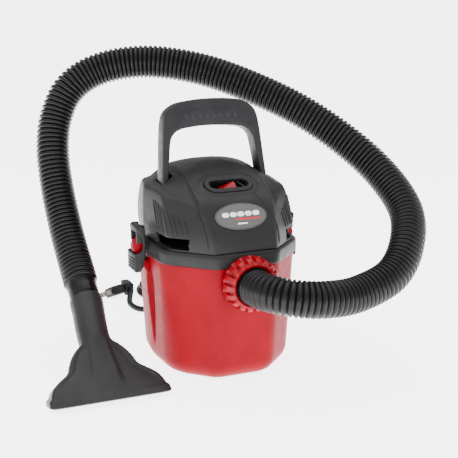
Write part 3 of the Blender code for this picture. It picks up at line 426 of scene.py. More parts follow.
# %% Spin the corrugated tube and bend it
RIDGE_PITCH = 5.3 * MM
RIDGE = [(0.0, -2.5), (0.14, -1.6), (0.26, -0.35), (0.5, 0.0), (0.74, -0.35), (0.86, -1.6)]
ridges = round(hose_length / RIDGE_PITCH)
tube = bmesh.new()
previous = tube.verts.new((HOSE_R - 6 * MM, 0, 0))
profile = [previous]
for ridge in range(ridges):
    for share, drop in RIDGE:
        height = (ridge + share) / ridges * hose_length
        profile.append(tube.verts.new((HOSE_R + drop * MM, 0, height)))
profile.append(tube.verts.new((HOSE_R - 2.5 * MM, 0, hose_length)))
profile.append(tube.verts.new((HOSE_R - 6 * MM, 0, hose_length)))
chain = [tube.edges.new(pair) for pair in zip(profile, profile[1:])]
bmesh.ops.spin(tube, geom=profile + chain, cent=(0, 0, 0), axis=(0, 0, 1), angle=2 * pi, steps=28,
               use_merge=True, use_duplicate=False)
bmesh.ops.holes_fill(tube, edges=[e for e in tube.edges if e.is_boundary], sides=40)
bend_onto(tube, hose_line)
hose = finish("corrugated_hose", tube, hose_black, "base", ["hose"], angle=60)
print("ridges on the hose:", ridges)

# %% [markdown]
# ## The mains lead
# About 1.8 m of 7.5 mm lead leaves the back of the head. It drops to the floor, is wound into a flat coil
# of five turns in two layers, and its free end loops out to the plug on the left. The line is worked out
# point by point: a smooth drop, circles a cord's width apart, and a smooth end.

# %% The lead's line
CORD_R = 3.75 * MM
COIL_AT = (38.0, 236.0)
LAY = 7.6
FLOOR_Z = 3.95
TOP_Z = FLOOR_Z + 6.6
CORD_DROP = [
    (0, 106, 160), (0, 114, 160), (0, 122, 158.5), (2, 132, 149), (6, 140, 125), (10, 143, 92), (16, 142, 56),
    (25, 139, 26), (36, 138, 9), (46, 139.5, 4.6), (58, 143, 4.0), (67, 152, 3.95), (70, 164, 3.95),
    (66, 176, 3.95), (56, 184.5, 3.95),
]
CORD_TAIL = [
    (19, 189, 10.2), (4, 181, 7.6), (-10, 171.5, 4.6), (-22, 167, 4.2), (-32, 171, 4.2),
    (-37, 183, 4.2), (-37.5, 197, 4.6), (-34, 211, 5.6), (-29, 224, 6.8), (-25.4, 234, 7.5), (-25, 239.4, 7.6),
]
TURNS = [(LAY * 1.0, FLOOR_Z), (0.0, FLOOR_Z), (-LAY, FLOOR_Z), (-LAY * 0.5, TOP_Z), (LAY * 0.5, TOP_Z)]
MID_R = 41.0
STEPS_A_TURN = 36


def coil_points():
    """Clockwise turns from the front, each easing onto the next over its last sixth."""
    points = []
    for number, (out, z) in enumerate(TURNS):
        next_out, next_z = TURNS[min(number + 1, len(TURNS) - 1)]
        for step in range(STEPS_A_TURN):
            share = step / STEPS_A_TURN
            ease = max(0.0, (share - 0.8) / 0.2)
            ease = ease * ease * (3 - 2 * ease)
            radius = MID_R + out + (next_out - out) * ease
            angle = -pi / 2 - 2 * pi * share
            points.append((COIL_AT[0] + radius * cos(angle), COIL_AT[1] + radius * sin(angle),
                           z + (next_z - z) * ease))
    last_r = MID_R + TURNS[-1][0]
    return points + [(COIL_AT[0], COIL_AT[1] - last_r, TOP_Z)]


cord_line = smooth_line(CORD_DROP + coil_points() + CORD_TAIL, 6.0 * MM)
cord_length = line_length(cord_line)
print("lead length:", round(cord_length, 3), "m")

# %% The lead as a round tube
lead = bmesh.new()
ring = bmesh.ops.create_circle(lead, cap_ends=True, segments=14, radius=CORD_R)
SECTIONS = len(cord_line) - 1
rod = [f for f in lead.faces]
grown = bmesh.ops.extrude_face_region(lead, geom=rod, use_keep_orig=True)
bmesh.ops.translate(lead, vec=(0, 0, cord_length), verts=verts_of(grown))
long_edges = [e for e in lead.edges if abs(e.verts[0].co.z - e.verts[1].co.z) > cord_length / 2]
bmesh.ops.subdivide_edges(lead, edges=long_edges, cuts=SECTIONS - 1, use_grid_fill=True)
bend_onto(lead, cord_line)
lead_piece = finish("mains_lead", lead, cord_black, None,
                    ["power_cord", "power_cord_coil", "power_cord_end"], angle=60)
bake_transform(lead_piece)
print("lead sections:", SECTIONS)

# %% [markdown]
# ## The outline seen from above
# Tank, lid and head share one plan: a flat front, wide flat facets at the front corners, long sides that
# bow slightly and a rounder back. It is a polygon with rounded corners. A helper walks round it and
# returns evenly spaced points, so that rings at different heights have matching points.

# %% The plan outline
FRONT = (35.0, -93.0)
WIDE = ((78.5, -51.0), (81.5, 10.0), (75.0, 55.0))       # shoulder, side and rear shoulder of tank and lid
SLIM = ((72.5, -57.0), (77.5, 10.0), (70.0, 56.0))       # the same three of the motor cover
REAR = (36.0, 83.0)


def rounded_outline(corners, count):
    """Evenly spaced (x, y) points, in mm, round a polygon of (x, y, radius) corners."""
    fine = []
    for number, (x, y, radius) in enumerate(corners):
        here = Vector((x, y))
        back = Vector(corners[number - 1][:2]) - here
        on = Vector(corners[(number + 1) % len(corners)][:2]) - here
        half = (pi - back.angle(on)) / 2
        trim = min(radius * sin(half) / cos(half), 0.49 * back.length, 0.49 * on.length)
        start = here + back.normalized() * trim
        end = here + on.normalized() * trim
        for step in range(17):
            t = step / 16
            fine.append(start * (1 - t) ** 2 + here * 2 * t * (1 - t) + end * t * t)
    fine.append(fine[0].copy())
    total = line_length(fine)
    even, run, target = [], 0.0, 0
    for a, b in zip(fine, fine[1:]):
        piece = (b - a).length
        while target < count and run + piece >= total * target / count - 1e-9:
            part = 0.0 if piece < 1e-9 else (total * target / count - run) / piece
            even.append(a.lerp(b, max(part, 0.0)))
            target += 1
        run += piece
    return even


def plan_corners(inset, half, front, rear, front_half, soft, three=WIDE):
    """The plan's ten corners, scaled to a half width and a reach, moved in by inset."""
    def at(x, y):
        share = (y - FRONT[1]) / (REAR[1] - FRONT[1])
        return x * (half - inset) / three[1][0], (front + inset) + share * ((rear - inset) - (front + inset))
    right = [(*at(*three[0]), 30 * soft), (*at(*three[1]), 70 * soft), (*at(*three[2]), 34 * soft),
             (*at(*REAR), 34 * soft)]
    left = [(-x, y, r) for x, y, r in reversed(right)]
    inner = front_half * (half - inset) / half
    first = [(-inner, front + inset, 16 * soft), (inner, front + inset, 16 * soft)]
    return first + right + left


def grow(rings, cap_first=True, cap_last=True):
    """Extrude a circle of vertices from ring to ring; each ring lists one point per vertex."""
    bm = bmesh.new()
    number = bm.verts.layers.int.new("number")
    circle = bmesh.ops.create_circle(bm, cap_ends=False, segments=len(rings[0]), radius=1.0)
    for index, vert in enumerate(circle["verts"]):
        vert[number] = index
        vert.co = rings[0][index]
    edges = first_edges = list(bm.edges)
    for ring in rings[1:]:
        grown = bmesh.ops.extrude_edge_only(bm, edges=edges)
        fresh = set(verts_of(grown))
        for vert in fresh:
            vert.co = ring[vert[number]]
        edges = [e for e in edges_of(grown) if e.verts[0] in fresh and e.verts[1] in fresh]
    for cap, loop in ((cap_first, first_edges), (cap_last, edges)):
        if cap:
            bmesh.ops.contextual_create(bm, geom=loop)
    return bm


def smooth_step(low, high, value):
    share = min(max((value - low) / (high - low), 0.0), 1.0)
    return share * share * (3 - 2 * share)


def spline(table, value):
    """Smooth reading of a table of rows whose first number rises."""
    rows = [table[0]] + list(table) + [table[-1]]
    place = 1
    while place < len(rows) - 3 and rows[place + 1][0] < value:
        place += 1
    a, b, c, d = rows[place - 1 : place + 3]
    t = min(max((value - b[0]) / (c[0] - b[0]), 0.0), 1.0)
    width = c[0] - b[0]
    read = []
    for column in range(1, len(b)):
        into = (c[column] - a[column]) / (c[0] - a[0]) * width
        out = (d[column] - b[column]) / (d[0] - b[0]) * width
        read.append(b[column] * (1 + 2 * t) * (1 - t) ** 2 + into * t * (1 - t) ** 2
                    + c[column] * t * t * (3 - 2 * t) + out * t * t * (t - 1))
    return read


ROUND = 360
print("plan points:", len(rounded_outline(plan_corners(0, 81.5, -93, 83, 35, 1), ROUND)))

# %% [markdown]
# ## The tank
# The tank is one polypropylene moulding with a 2.6 mm wall. It narrows downwards so that it leaves its
# mould, its bottom edge is well rounded, and a long arched groove stiffens each side under the latch. A
# lofted skin of rings gives all of this: the groove is pressed into the rings, and the wall is then grown
# inwards, so it follows the groove as a moulded wall does.

# %% Tank skin with its side grooves
LID_Z = 127.0
TANK_STEP = 2.0
TANK_TAPER = 5.8
BOTTOM_R = 20.0
GROOVE_MIDDLE_Y = -8.0
GROOVE_HALF = 11.0
GROOVE_DEPTH = 4.6


def groove_press(y, z):
    """How far the skin is pressed in at a point of the tank's side."""
    if not 24.0 < z < 113.0:
        return 0.0
    half = GROOVE_HALF * min(1.0, ((z - 24.0) / 62.0)) ** 0.6
    if z > 100.0:
        half *= max(0.0, 1 - ((z - 100.0) / 13.0) ** 2) ** 0.5
    if half < 0.6:
        return 0.0
    off = abs(y - GROOVE_MIDDLE_Y) / half
    return GROOVE_DEPTH * min(1.0, half / 8.0) * (1 - smooth_step(0.62, 1.0, off))


def tank_ring(inset, z):
    points = rounded_outline(plan_corners(inset, 81.5, -93, 83, 35, 1.35), ROUND)
    ring = []
    for point in points:
        x, y = point
        if abs(x) > 55 and -25 < y < 10:
            x -= (1 if x > 0 else -1) * groove_press(y, z)
        ring.append((x * MM, y * MM, z * MM))
    return ring


foot_inset = TANK_STEP + TANK_TAPER + BOTTOM_R
tank_levels = [(foot_inset + 3, 0.0)]
tank_levels += [(foot_inset - BOTTOM_R * sin(radians(9 * i)), BOTTOM_R * (1 - cos(radians(9 * i))))
                for i in range(11)]
for step in range(1, 61):
    share = step / 60
    tank_levels.append((TANK_STEP + TANK_TAPER * (1 - share), BOTTOM_R + share * (LID_Z - 0.6 - BOTTOM_R)))
tank_levels += [(3.0, LID_Z - 0.2), (4.0, LID_Z), (4.0, LID_Z + 3.0), (4.0, LID_Z + 7.0)]
tank_bm = grow([tank_ring(inset, z) for inset, z in tank_levels], cap_last=False)
tank = finish("tank_shell", tank_bm, tank_red, "base", ["tank"], wall=2.6 * MM)

# %% [markdown]
# The latches hook over a red catch on each side of the tank. It is a thick wedge that grows out of the
# wall below the lid and ends in a sloping nose. A profile is drawn, extruded across and its edges rounded.


# %% Plates from an outline
def plate(outline, thickness, matrix=None, edge=0.0, segments=3, scale=MM):
    """A flat outline of (x, y) points in mm, thickened evenly about z = 0, with rounded rims."""
    bm = bmesh.new()
    corners = [bm.verts.new((x * scale, y * scale, -thickness * MM / 2)) for x, y in outline]
    grown = bmesh.ops.extrude_face_region(bm, geom=[bm.faces.new(corners)], use_keep_orig=True)
    bmesh.ops.translate(bm, vec=(0, 0, thickness * MM), verts=verts_of(grown))
    bmesh.ops.recalc_face_normals(bm, faces=bm.faces)
    if edge:
        rims = [e for e in bm.edges if abs(e.verts[0].co.z - e.verts[1].co.z) < 1e-7]
        bmesh.ops.bevel(bm, geom=rims, offset=edge * MM, offset_type="OFFSET", segments=segments,
                        profile=0.5, affect="EDGES", clamp_overlap=True, material=-1)
    if matrix is not None:
        bmesh.ops.transform(bm, matrix=matrix, verts=bm.verts)
    return bm


def join(bms):
    """Put several bmeshes into one."""
    whole = bms[0]
    for part in bms[1:]:
        mesh = bpy.data.meshes.new("part")
        part.to_mesh(mesh)
        part.free()
        whole.from_mesh(mesh)
        bpy.data.meshes.remove(mesh)
    return whole


def both_sides(bm):
    """Add the mirror image across the middle plane."""
    bmesh.ops.mirror(bm, geom=bm.verts[:] + bm.edges[:] + bm.faces[:], axis="X", merge_dist=-1.0)
    return bm


def block(low, high, edge=0.5, matrix=None, segments=3):
    """A cube stretched between two corners in mm, with rounded edges."""
    bm = bmesh.new()
    bmesh.ops.create_cube(bm, size=1.0)
    bmesh.ops.scale(bm, vec=[(h - l) * MM for l, h in zip(low, high)], verts=bm.verts)
    bmesh.ops.translate(bm, vec=[(h + l) / 2 * MM for l, h in zip(low, high)], verts=bm.verts)
    if edge:
        bmesh.ops.bevel(bm, geom=bm.edges[:], offset=edge * MM, offset_type="OFFSET", segments=segments,
                        profile=0.5, affect="EDGES", clamp_overlap=True, material=-1)
    if matrix is not None:
        bmesh.ops.transform(bm, matrix=matrix, verts=bm.verts)
    return bm


UPRIGHT = Matrix.Rotation(pi / 2, 4, "X")

# %% Catches and inlet boss
catch_outline = [(76.5, 106), (80, 106.5), (86.5, 118), (89.6, 124), (91.2, 129.6), (94.0, 131.2), (94.6, 136),
                 (93.2, 141), (90.0, 144.0), (87.2, 145), (84.4, 143.5), (83.2, 138), (83.2, 124), (81, 121),
                 (76.5, 120)]
catches = both_sides(plate(catch_outline, 14.0, UPRIGHT, edge=1.2))
catch_pair = finish("tank_catches", catches, tank_red, "base")


def turned(profile, at, axis="Z", steps=96):
    """Spin a closed profile of (radius, height) points, in mm, round an axis through the point at."""
    bm = bmesh.new()
    corners = [bm.verts.new((r * MM, 0, h * MM)) for r, h in profile]
    loop = [bm.edges.new((corners[i - 1], corners[i])) for i in range(len(corners))]
    bmesh.ops.spin(bm, geom=corners + loop, cent=(0, 0, 0), axis=(0, 0, 1), angle=2 * pi, steps=steps,
                   use_merge=True, use_duplicate=False)
    turn = {"Z": Matrix(), "Y": Matrix.Rotation(-pi / 2, 4, "X")}[axis]
    bmesh.ops.transform(bm, matrix=Matrix.Translation(Vector(at) * MM) @ turn, verts=bm.verts)
    return bm


INLET_AT = (0, 0, 111)
boss = turned([(15.4, -90), (15.4, -97.2), (14.9, -97.6), (13.0, -97.6), (12.5, -97.0), (12.5, -90)],
              INLET_AT, "Y", 64)
finish("inlet_boss", boss, tank_red, "base")

# %% [markdown]
# ## The lid
# A dark band caps the tank. Its skirt hangs over the tank's rim, its lower lip is rounded, and its top
# edge is chamfered where the motor cover stands. Two ears on each side carry the latch's steel pin. The
# band is lofted in rings like the tank, and closed by its deck.

# %% Lid band and ears
lid_levels = [(30.0, 138.7), (4.6, 138.7), (3.6, 138.0), (3.3, 133), (3.0, 127.6), (2.4, 127.0), (1.2, 127.0),
              (0.5, 127.3), (0.1, 128.0), (0.0, 129.2), (0.0, 133), (0.1, 137.8), (0.5, 139.4), (1.3, 140.8),
              (2.3, 141.5), (3.2, 141.7), (30.0, 141.7)]
lid_bm = grow([[(x * MM, y * MM, z * MM) for x, y in
                rounded_outline(plan_corners(inset, 81.5, -93, 83, 35, 0.9), ROUND)] for inset, z in lid_levels])
lid = finish("lid_band", lid_bm, lid_black, "head", ["lid_base"])

LATCH_AT = (88.0, 156.0)
lug = [(78.0, 140.9), (92.4, 140.9), (92.6, 156)]
lug += [(88 + 4.6 * cos(radians(a)), 156 + 4.6 * sin(radians(a))) for a in range(10, 100, 10)]
lug += [(84.6, 160.6), (83.4, 159.4), (83.4, 144), (78.0, 142.6)]
ears = []
for y in (-9.5, 9.5):
    ears.append(both_sides(plate(lug, 3.0, Matrix.Translation((0, y * MM, 0)) @ UPRIGHT, edge=0.7)))
finish("lid_ears", join(ears), lid_black, "head")

# %% [markdown]
# ## The motor cover
# The cover is the piece that gives this vacuum its face: a dome with a flat sloping front panel between
# two soft creases, side walls that end in a ridge slanting down to the front corners, a hollow flank above
# each ridge, and a dark exhaust slot under a set of ribs. It is lofted in rings from a table of widths and
# reaches. Ridge and hollow are pressed into the skin, openings are cut by deleting faces along bisected
# lines, and the wall is grown inwards last.

# %% Cover skin: its table and what is pressed into it
COVER_Z = 142.0
COVER_TABLE = [
    (0, 0.0, 74.6, -88.6, 78.6, 35.0), (1, 1.6, 75.4, -89.0, 79.4, 35.0), (2, 10.0, 77.2, -87.5, 80.5, 35.0),
    (3, 20.0, 77.8, -83.5, 80.4, 36.0), (4, 34.0, 77.2, -74.6, 78.5, 38.0), (5, 48.0, 76.0, -63.6, 72.4, 41.0),
    (6, 56.0, 74.0, -52.0, 67.6, 43.0), (7, 61.0, 68.4, -43.0, 64.8, 43.0), (8, 66.5, 60.0, -33.0, 62.5, 42.0),
    (9, 73.0, 48.0, -19.0, 53.0, 35.0), (10, 77.8, 33.0, -5.0, 40.0, 24.0), (11, 80.6, 17.0, 5.0, 28.0, 12.0),
    (12, 81.5, 4.0, 12.5, 18.0, 2.8),
]
COVER_ROUND = 440
RINGS_A_ROW = 8
HANDLE_FRAME = Matrix.Translation((0, 2.8 * MM, 203 * MM)) @ Matrix.Rotation(radians(-9.8), 4, "X")
LABEL_FRAME = Matrix.Translation((0, -74.0 * MM, 176 * MM)) @ Matrix.Rotation(radians(55.8), 4, "X")
SWITCH_FRAME = Matrix.Translation((0, -41.8 * MM, 203.4 * MM)) @ Matrix.Rotation(radians(28.6), 4, "X")


def pill_distance(point, width, height):
    """Distance in mm from a rounded oblong's edge, negative inside."""
    reach = (width - height) / 2
    return Vector((max(abs(point.x / MM) - reach, 0), point.y / MM)).length - height / 2


RIDGE = [(-90, 150.0), (-84, 158.0), (-76, 172.0), (-64, 184.0), (-48, 191.5), (-25, 196.0), (3, 198.0),
         (30, 199.0), (62, 199.0), (90, 199.0)]


def ridge_height(y):
    """Height of the side wall's slanting top edge."""
    return spline(RIDGE, y)[0]


def flank_press(x, y, z):
    """How far the flank above the ridge is pulled in."""
    if abs(x) < 40 or z < 150:
        return 0.0
    above = z - ridge_height(y)
    inward = 5.0 * smooth_step(0.2, 3.0, above) * (1 - smooth_step(8.0, 40.0, above))
    return inward * smooth_step(39, 50, abs(x)) * (1 - smooth_step(46, 64, y))


def cover_rings():
    into_switch = SWITCH_FRAME.inverted()
    rings = []
    rows = (len(COVER_TABLE) - 1) * RINGS_A_ROW
    for row in range(rows + 1):
        height, half, front, rear, front_half = spline(COVER_TABLE, row / RINGS_A_ROW)
        soft = max(0.3, min(1.0, half / 77.0)) * (0.38 + 0.6 * smooth_step(48, 80, height))
        ring = []
        for x, y in rounded_outline(plan_corners(0, half, front, rear, front_half, soft, SLIM), COVER_ROUND):
            z = COVER_Z + height
            x -= (1 if x > 0 else -1) * flank_press(x, y, z)
            point = Vector((x, y, z)) * MM
            local = into_switch @ point
            if abs(local.z) < 9 * MM and point.z > 0.18:
                rim = abs(pill_distance(local, 60, 29)) / 2.6
                point += SWITCH_FRAME.to_3x3() @ Vector((0, 0, 1.1 * MM * max(0.0, 1 - rim * rim)))
            ring.append(point)
        rings.append(ring)
    return rings


cover_points = cover_rings()
print("cover rings:", len(cover_points), "of", COVER_ROUND, "points")

# %% Openings of the cover
cover_bm = grow(cover_points, cap_first=False)


def drop_faces(bm, inside):
    """Delete the faces whose middle is inside."""
    gone = [f for f in bm.faces if inside(f.calc_center_median())]
    bmesh.ops.delete(bm, geom=gone, context="FACES")
    return len(gone)


def cut_window(bm, matrix, low, high):
    """Cut a straight-edged window: bisect the faces near a box along its four sides, then drop the inside."""
    inverse = matrix.inverted()
    turn = matrix.to_3x3()

    def near(point, margin):
        local = inverse @ point
        return all(l * MM - margin < v < h * MM + margin for v, l, h in zip(local, low, high))

    for axis in (0, 1):
        for edge in (low[axis], high[axis]):
            corner = Vector((0, 0, 0))
            corner[axis] = edge * MM
            normal = Vector((0, 0, 0))
            normal[axis] = 1.0
            faces = [f for f in bm.faces if near(f.calc_center_median(), 3 * MM)]
            geom = list({item for f in faces for item in (*f.verts, *f.edges, f)})
            bmesh.ops.bisect_plane(bm, geom=geom, plane_co=matrix @ corner, plane_no=turn @ normal, dist=1e-6)
    return drop_faces(bm, lambda point: near(point, 0.0))


def in_switch(point):
    local = SWITCH_FRAME.inverted() @ point
    return abs(local.z) < 14 * MM and pill_distance(local, 47.5, 17.5) < 0


def in_exhaust(point):
    x, y, z = point / MM
    return 143.6 < z < 155.0 and abs(x) > 48 and -69 < y < -24


removed = drop_faces(cover_bm, in_switch)
removed += drop_faces(cover_bm, in_exhaust)
removed += drop_faces(cover_bm, lambda p: p.y > 0.07 and Vector((p.x, p.z - 0.160)).length < 6.5 * MM)
for side in (-1, 1):
    x_low, x_high = sorted((side * 49.0, side * 62.4))
    removed += cut_window(cover_bm, HANDLE_FRAME, (x_low, -10.6, -22), (x_high, 10.6, 40))
cover = finish("motor_cover_shell", cover_bm, head_black, "head", ["motor_cover"],
               wall=2.4 * MM, angle=38)
print("faces opened:", removed)

# %% [markdown]
# Ribs stiffen the side walls over the exhaust slot, and a fin runs down each crease. They are thin rods
# half sunk in the skin: each follows a column of the skin's own points, so it sits on the surface exactly.


# %% Ribs and fins on the skin
def skin_rod(column, low_z, high_z, radius):
    """A rod that follows one column of the cover's points between two heights."""
    path = [ring[column] for ring in cover_points if low_z * MM <= ring[column].z <= high_z * MM]
    path = path[:: max(1, len(path) // 10)]
    rings = []
    for number, (here, ahead, side, up) in enumerate(frames_along(path)):
        size = radius * MM * (0.35 if number in (0, len(path) - 1) else 1.0)
        rings.append([here + (side * cos(a) + up * sin(a)) * size for a in [2 * pi * i / 8 for i in range(8)]])
    return grow(rings)


def columns_between(y_low, y_high, x_sign, count):
    """Evenly spaced columns of the skin on one side, between two depths."""
    ring = cover_points[3 * RINGS_A_ROW]
    found = [i for i, p in enumerate(ring) if p.x * x_sign > 0.048 and y_low < p.y / MM < y_high]
    found.sort(key=lambda i: ring[i].y)
    return [found[round(k * (len(found) - 1) / (count - 1))] for k in range(count)]


rods = []
for x_sign in (-1, 1):
    for column in columns_between(-66, -26, x_sign, 9):
        rods.append(skin_rod(column, 157.5, ridge_height(cover_points[0][column].y / MM) - 5.0, 0.8))
ribs = finish("cover_ribs", join(rods), head_black, "head", angle=60)
fins = []
for x_sign in (-1, 1):
    ring = cover_points[2 * RINGS_A_ROW]
    column = min(range(COVER_ROUND), key=lambda i: abs(ring[i].x - x_sign * 40.5 * MM) + 9 * max(0, ring[i].y))
    fins.append(skin_rod(column, 145.0, 207.0, 1.0))
fin_pair = finish("cover_fins", join(fins), head_black, "head", angle=60)

# %% [markdown]
# ## Label and switch
# The oval label is a printed film in a shallow frame. Its print is left generic: five white dashes, a red
# line and a short white one. The switch is a polished red rocker deep in a pill-shaped well with a rolled
# rim. All of it is made from outlines that are filled, thickened and bevelled.

# %% Label
def oval(width, height, steps=72):
    return [(width / 2 * cos(2 * pi * i / steps), height / 2 * sin(2 * pi * i / steps)) for i in range(steps)]


def pill(width, height, steps=12):
    r = height / 2
    x = width / 2 - r
    right = [(x + r * cos(-pi / 2 + pi * i / steps), r * sin(-pi / 2 + pi * i / steps)) for i in range(steps + 1)]
    return right + [(-px, -py) for px, py in right]


def rounded_bar(width, height, r):
    """Outline of a bar with rounded corners."""
    return [(sx * (width / 2 - r) + r * cos(a), sy * (height / 2 - r) + r * sin(a))
            for sx, sy, start in ((1, -1, -90), (1, 1, 0), (-1, 1, 90), (-1, -1, 180))
            for a in [radians(start + 30 * k) for k in range(4)]]


def lifted(matrix, x, y, z):
    return matrix @ Matrix.Translation((x * MM, y * MM, z * MM))


label_back = plate(oval(58, 29.5), 1.5, lifted(LABEL_FRAME, 0, 0, 1.05), edge=0.6)
label_plate = finish("label_back", label_back, moulded("label_frame_grey", "#4C4A4B", "#424041", 0.4, 1.5, 0.05),
                     "head", ["label_plate"])
film = plate(oval(54.5, 26.4), 0.3, lifted(LABEL_FRAME, 0, 0, 1.9), edge=0.1, segments=1)
finish("label_film", film, label_film, "head")
dashes = [plate(pill(w, 5.2), 0.3, lifted(LABEL_FRAME, x, 2.2, 2.12), edge=0.08, segments=1)
          for x, w in ((-17.0, 7.8), (-8.4, 7.4), (0.0, 7.8), (8.4, 7.4), (17.0, 7.8))]
dashes.append(plate(pill(11, 1.5), 0.3, lifted(LABEL_FRAME, 0, -8.2, 2.12), edge=0.08, segments=1))
finish("label_print_white", join(dashes), label_white, "head")
line = plate(pill(27, 1.5), 0.3, lifted(LABEL_FRAME, 7, -3.2, 2.12), edge=0.08, segments=1)
finish("label_print_red", line, label_red, "head")


# %% Switch bezel, well and rocker
def ring_plate(outer, inner, thickness, matrix, edge):
    """A flat ring between two outlines of the same number of points."""
    bm = bmesh.new()
    loops = []
    for outline in (outer, inner):
        corners = [bm.verts.new((x * MM, y * MM, -thickness * MM / 2)) for x, y in outline]
        loops += [bm.edges.new((corners[i - 1], corners[i])) for i in range(len(corners))]
    bmesh.ops.bridge_loops(bm, edges=loops)
    grown = bmesh.ops.extrude_face_region(bm, geom=bm.faces[:], use_keep_orig=True)
    bmesh.ops.translate(bm, vec=(0, 0, thickness * MM), verts=verts_of(grown))
    bmesh.ops.recalc_face_normals(bm, faces=bm.faces)
    if edge:
        soften(bm, edge * MM)
    bmesh.ops.transform(bm, matrix=matrix, verts=bm.verts)
    return bm


bezel = ring_plate(pill(54.4, 23.6), pill(43.6, 13.6), 3.4, lifted(SWITCH_FRAME, 0, 0, 1.0), 1.5)
finish("switch_bezel_rim", bezel, head_black, "head", ["switch_bezel"])
well_wall = ring_plate(pill(44.2, 14.2), pill(41.8, 11.8), 14.6, lifted(SWITCH_FRAME, 0, 0, -7.6), 0.0)
well_floor = plate(pill(44.2, 14.2), 1.2, lifted(SWITCH_FRAME, 0, 0, -14.6))
finish("switch_well", join([well_wall, well_floor]), inner_black, "head", ["switch_body"])
rocker_side = [(-5.9, -9.4), (5.9, -9.4), (8.4, -6.2), (8.5, 0.8), (7.6, 1.9), (6.0, 1.9), (1.0, -0.2),
               (-4.0, -2.7), (-8.4, -4.6), (-8.4, -7.0)]
rocker = plate(rocker_side, 10.2, lifted(SWITCH_FRAME, 0, 0, -1.6) @ UPRIGHT, edge=0.8)
finish("power_rocker", rocker, trim_red, "rocker", ["power_switch"])

# %% [markdown]
# ## The carry handle
# The handle is a thick arch that slides in the cover. Its legs are thin plates seen from the front and
# 20 mm deep from the side, and its grip is 27 mm tall. A generous round on every edge keeps it kind to a
# hand: the outline is drawn as a smooth line, filled, extruded and bevelled.

# %% Handle
handle_outer = [(61.7, -14), (60.7, 0), (58.8, 22), (56.8, 45), (55.2, 59), (53.6, 67), (50.2, 74.0), (44.4, 79.2),
                (36.5, 83.0), (27, 84.8), (14, 86.0), (0, 86.4)]
handle_inner = [(0, 57.5), (14, 57.0), (27, 55.8), (35.5, 54.4), (42.6, 51.0), (47.0, 45.6), (48.9, 38.5),
                (50.4, 28), (51.8, 18), (53.6, 0), (54.7, -14)]


def smooth_flat(points, spacing):
    return [(p.x, p.y) for p in smooth_line([(x, y, 0) for x, y in points], spacing * MM)]


right_edge = smooth_flat(handle_outer, 2.2)
inner_edge = smooth_flat(handle_inner, 2.2)
arch = right_edge + [(-x, y) for x, y in reversed(right_edge[:-1])]
arch += [(-x, y) for x, y in reversed(inner_edge[1:])] + inner_edge
handle_bm = plate(arch, 20.0, HANDLE_FRAME @ UPRIGHT, edge=3.1, segments=5, scale=1.0)
handle = finish("carry_handle_arch", handle_bm, handle_black, "handle", ["carry_handle"], angle=50)

# %% Raised marks on the grip, left generic
marks = []
for number, height in enumerate((9.5, 12.0, 9.5, 9.5, 12.0, 9.5, 9.5, 12.0)):
    spot = lifted(HANDLE_FRAME, -29 + 8.0 * number, -9.8, 70.5) @ UPRIGHT
    marks.append(plate(rounded_bar(5.2, height, 1.6), 1.3, spot, edge=0.5, segments=2))
finish("handle_marks", join(marks), handle_black, "handle")

# %% [markdown]
# ## The latches
# Each latch is a black lever that hangs from a steel pin in the lid's ears. Two cheeks come down beside the
# red catch and join in a cupped foot below it, so the catch shows above the foot. Grip ribs cross the foot.

# %% Latch lever
cheek = [(95.4, 111.8), (93.4, 109.8), (89.6, 110.0), (86.0, 116), (83.8, 126), (83.0, 135), (83.0, 141),
         (83.0, 147), (83.4, 151.5), (83.6, 156.5), (85.0, 159.2), (88.0, 160.4), (91.0, 159.2), (92.4, 156.5),
         (91.8, 152.6), (88.6, 149.4), (86.6, 145.5), (85.9, 140), (86.4, 135), (88.8, 131.6), (95.4, 130.0)]


def latch(x_sign):
    made = [block((91.6, -13.6, 109.6), (95.6, 13.6, 129.4), 1.6, segments=4)]
    for y in (-12.4, 12.4):
        made.append(plate(cheek, 2.4, Matrix.Translation((0, y * MM, 0)) @ UPRIGHT, edge=0.9))
    for number in range(4):
        z = 112.6 + 3.4 * number
        made.append(block((94.6, -9.5, z), (96.5, 9.5, z + 1.6), 0.7))
    made.append(turned([(4.4, -7.6), (4.4, 7.6), (2.3, 7.6), (2.3, -7.6)], (88, 0, 156), "Y", 32))
    made.append(block((90.2, -12.4, 153.0), (92.8, 12.4, 158.8), 0.8))
    whole = join(made)
    if x_sign < 0:
        bmesh.ops.scale(whole, vec=(-1, 1, 1), verts=whole.verts)
        bmesh.ops.reverse_faces(whole, faces=whole.faces)
    return whole


latch_left = finish("latch_lever_left", latch(-1), lid_black, "latch_l", ["latch_left"])
latch_right = finish("latch_lever_right", latch(1), lid_black, "latch_r", ["latch_right"])

# %% [markdown]
# ## The inlet collar
# A red threaded ring clamps the hose to the tank. Its rim is cut into teeth for the fingers, which fade
# out towards the hose. A profile is spun with twelve steps for each tooth, and the steps between the teeth
# are then drawn in towards the axis.

# %% Collar
TEETH = 18
collar_profile = [(28.4, -95.0), (29.0, -95.8), (29.0, -101), (28.8, -106), (27.8, -109.4), (25.6, -111.4),
                  (23.0, -112.0), (21.6, -111.9), (20.5, -111.2), (20.2, -110.0), (20.2, -98.2), (15.8, -98.2),
                  (15.8, -95.0)]
collar_bm = turned(collar_profile, INLET_AT, "Y", TEETH * 12)
for vert in collar_bm.verts:
    dx, dz = vert.co.x / MM, vert.co.z / MM - 111
    radius = (dx * dx + dz * dz) ** 0.5
    wave = abs(((atan2(dz, dx) / (2 * pi) * TEETH) % 1.0) - 0.5) * 2
    notch = (1 - smooth_step(0.26, 0.52, wave)) * smooth_step(22.4, 28.0, radius)
    if vert.co.y / MM < -97.5:
        pull = 1 - 3.6 * notch / radius
        vert.co = (vert.co.x * pull, vert.co.y + 1.2 * MM * notch, (111 + dz * pull) * MM)
collar = finish("inlet_collar_ring", collar_bm, trim_red, "collar", ["inlet_collar"], angle=50)

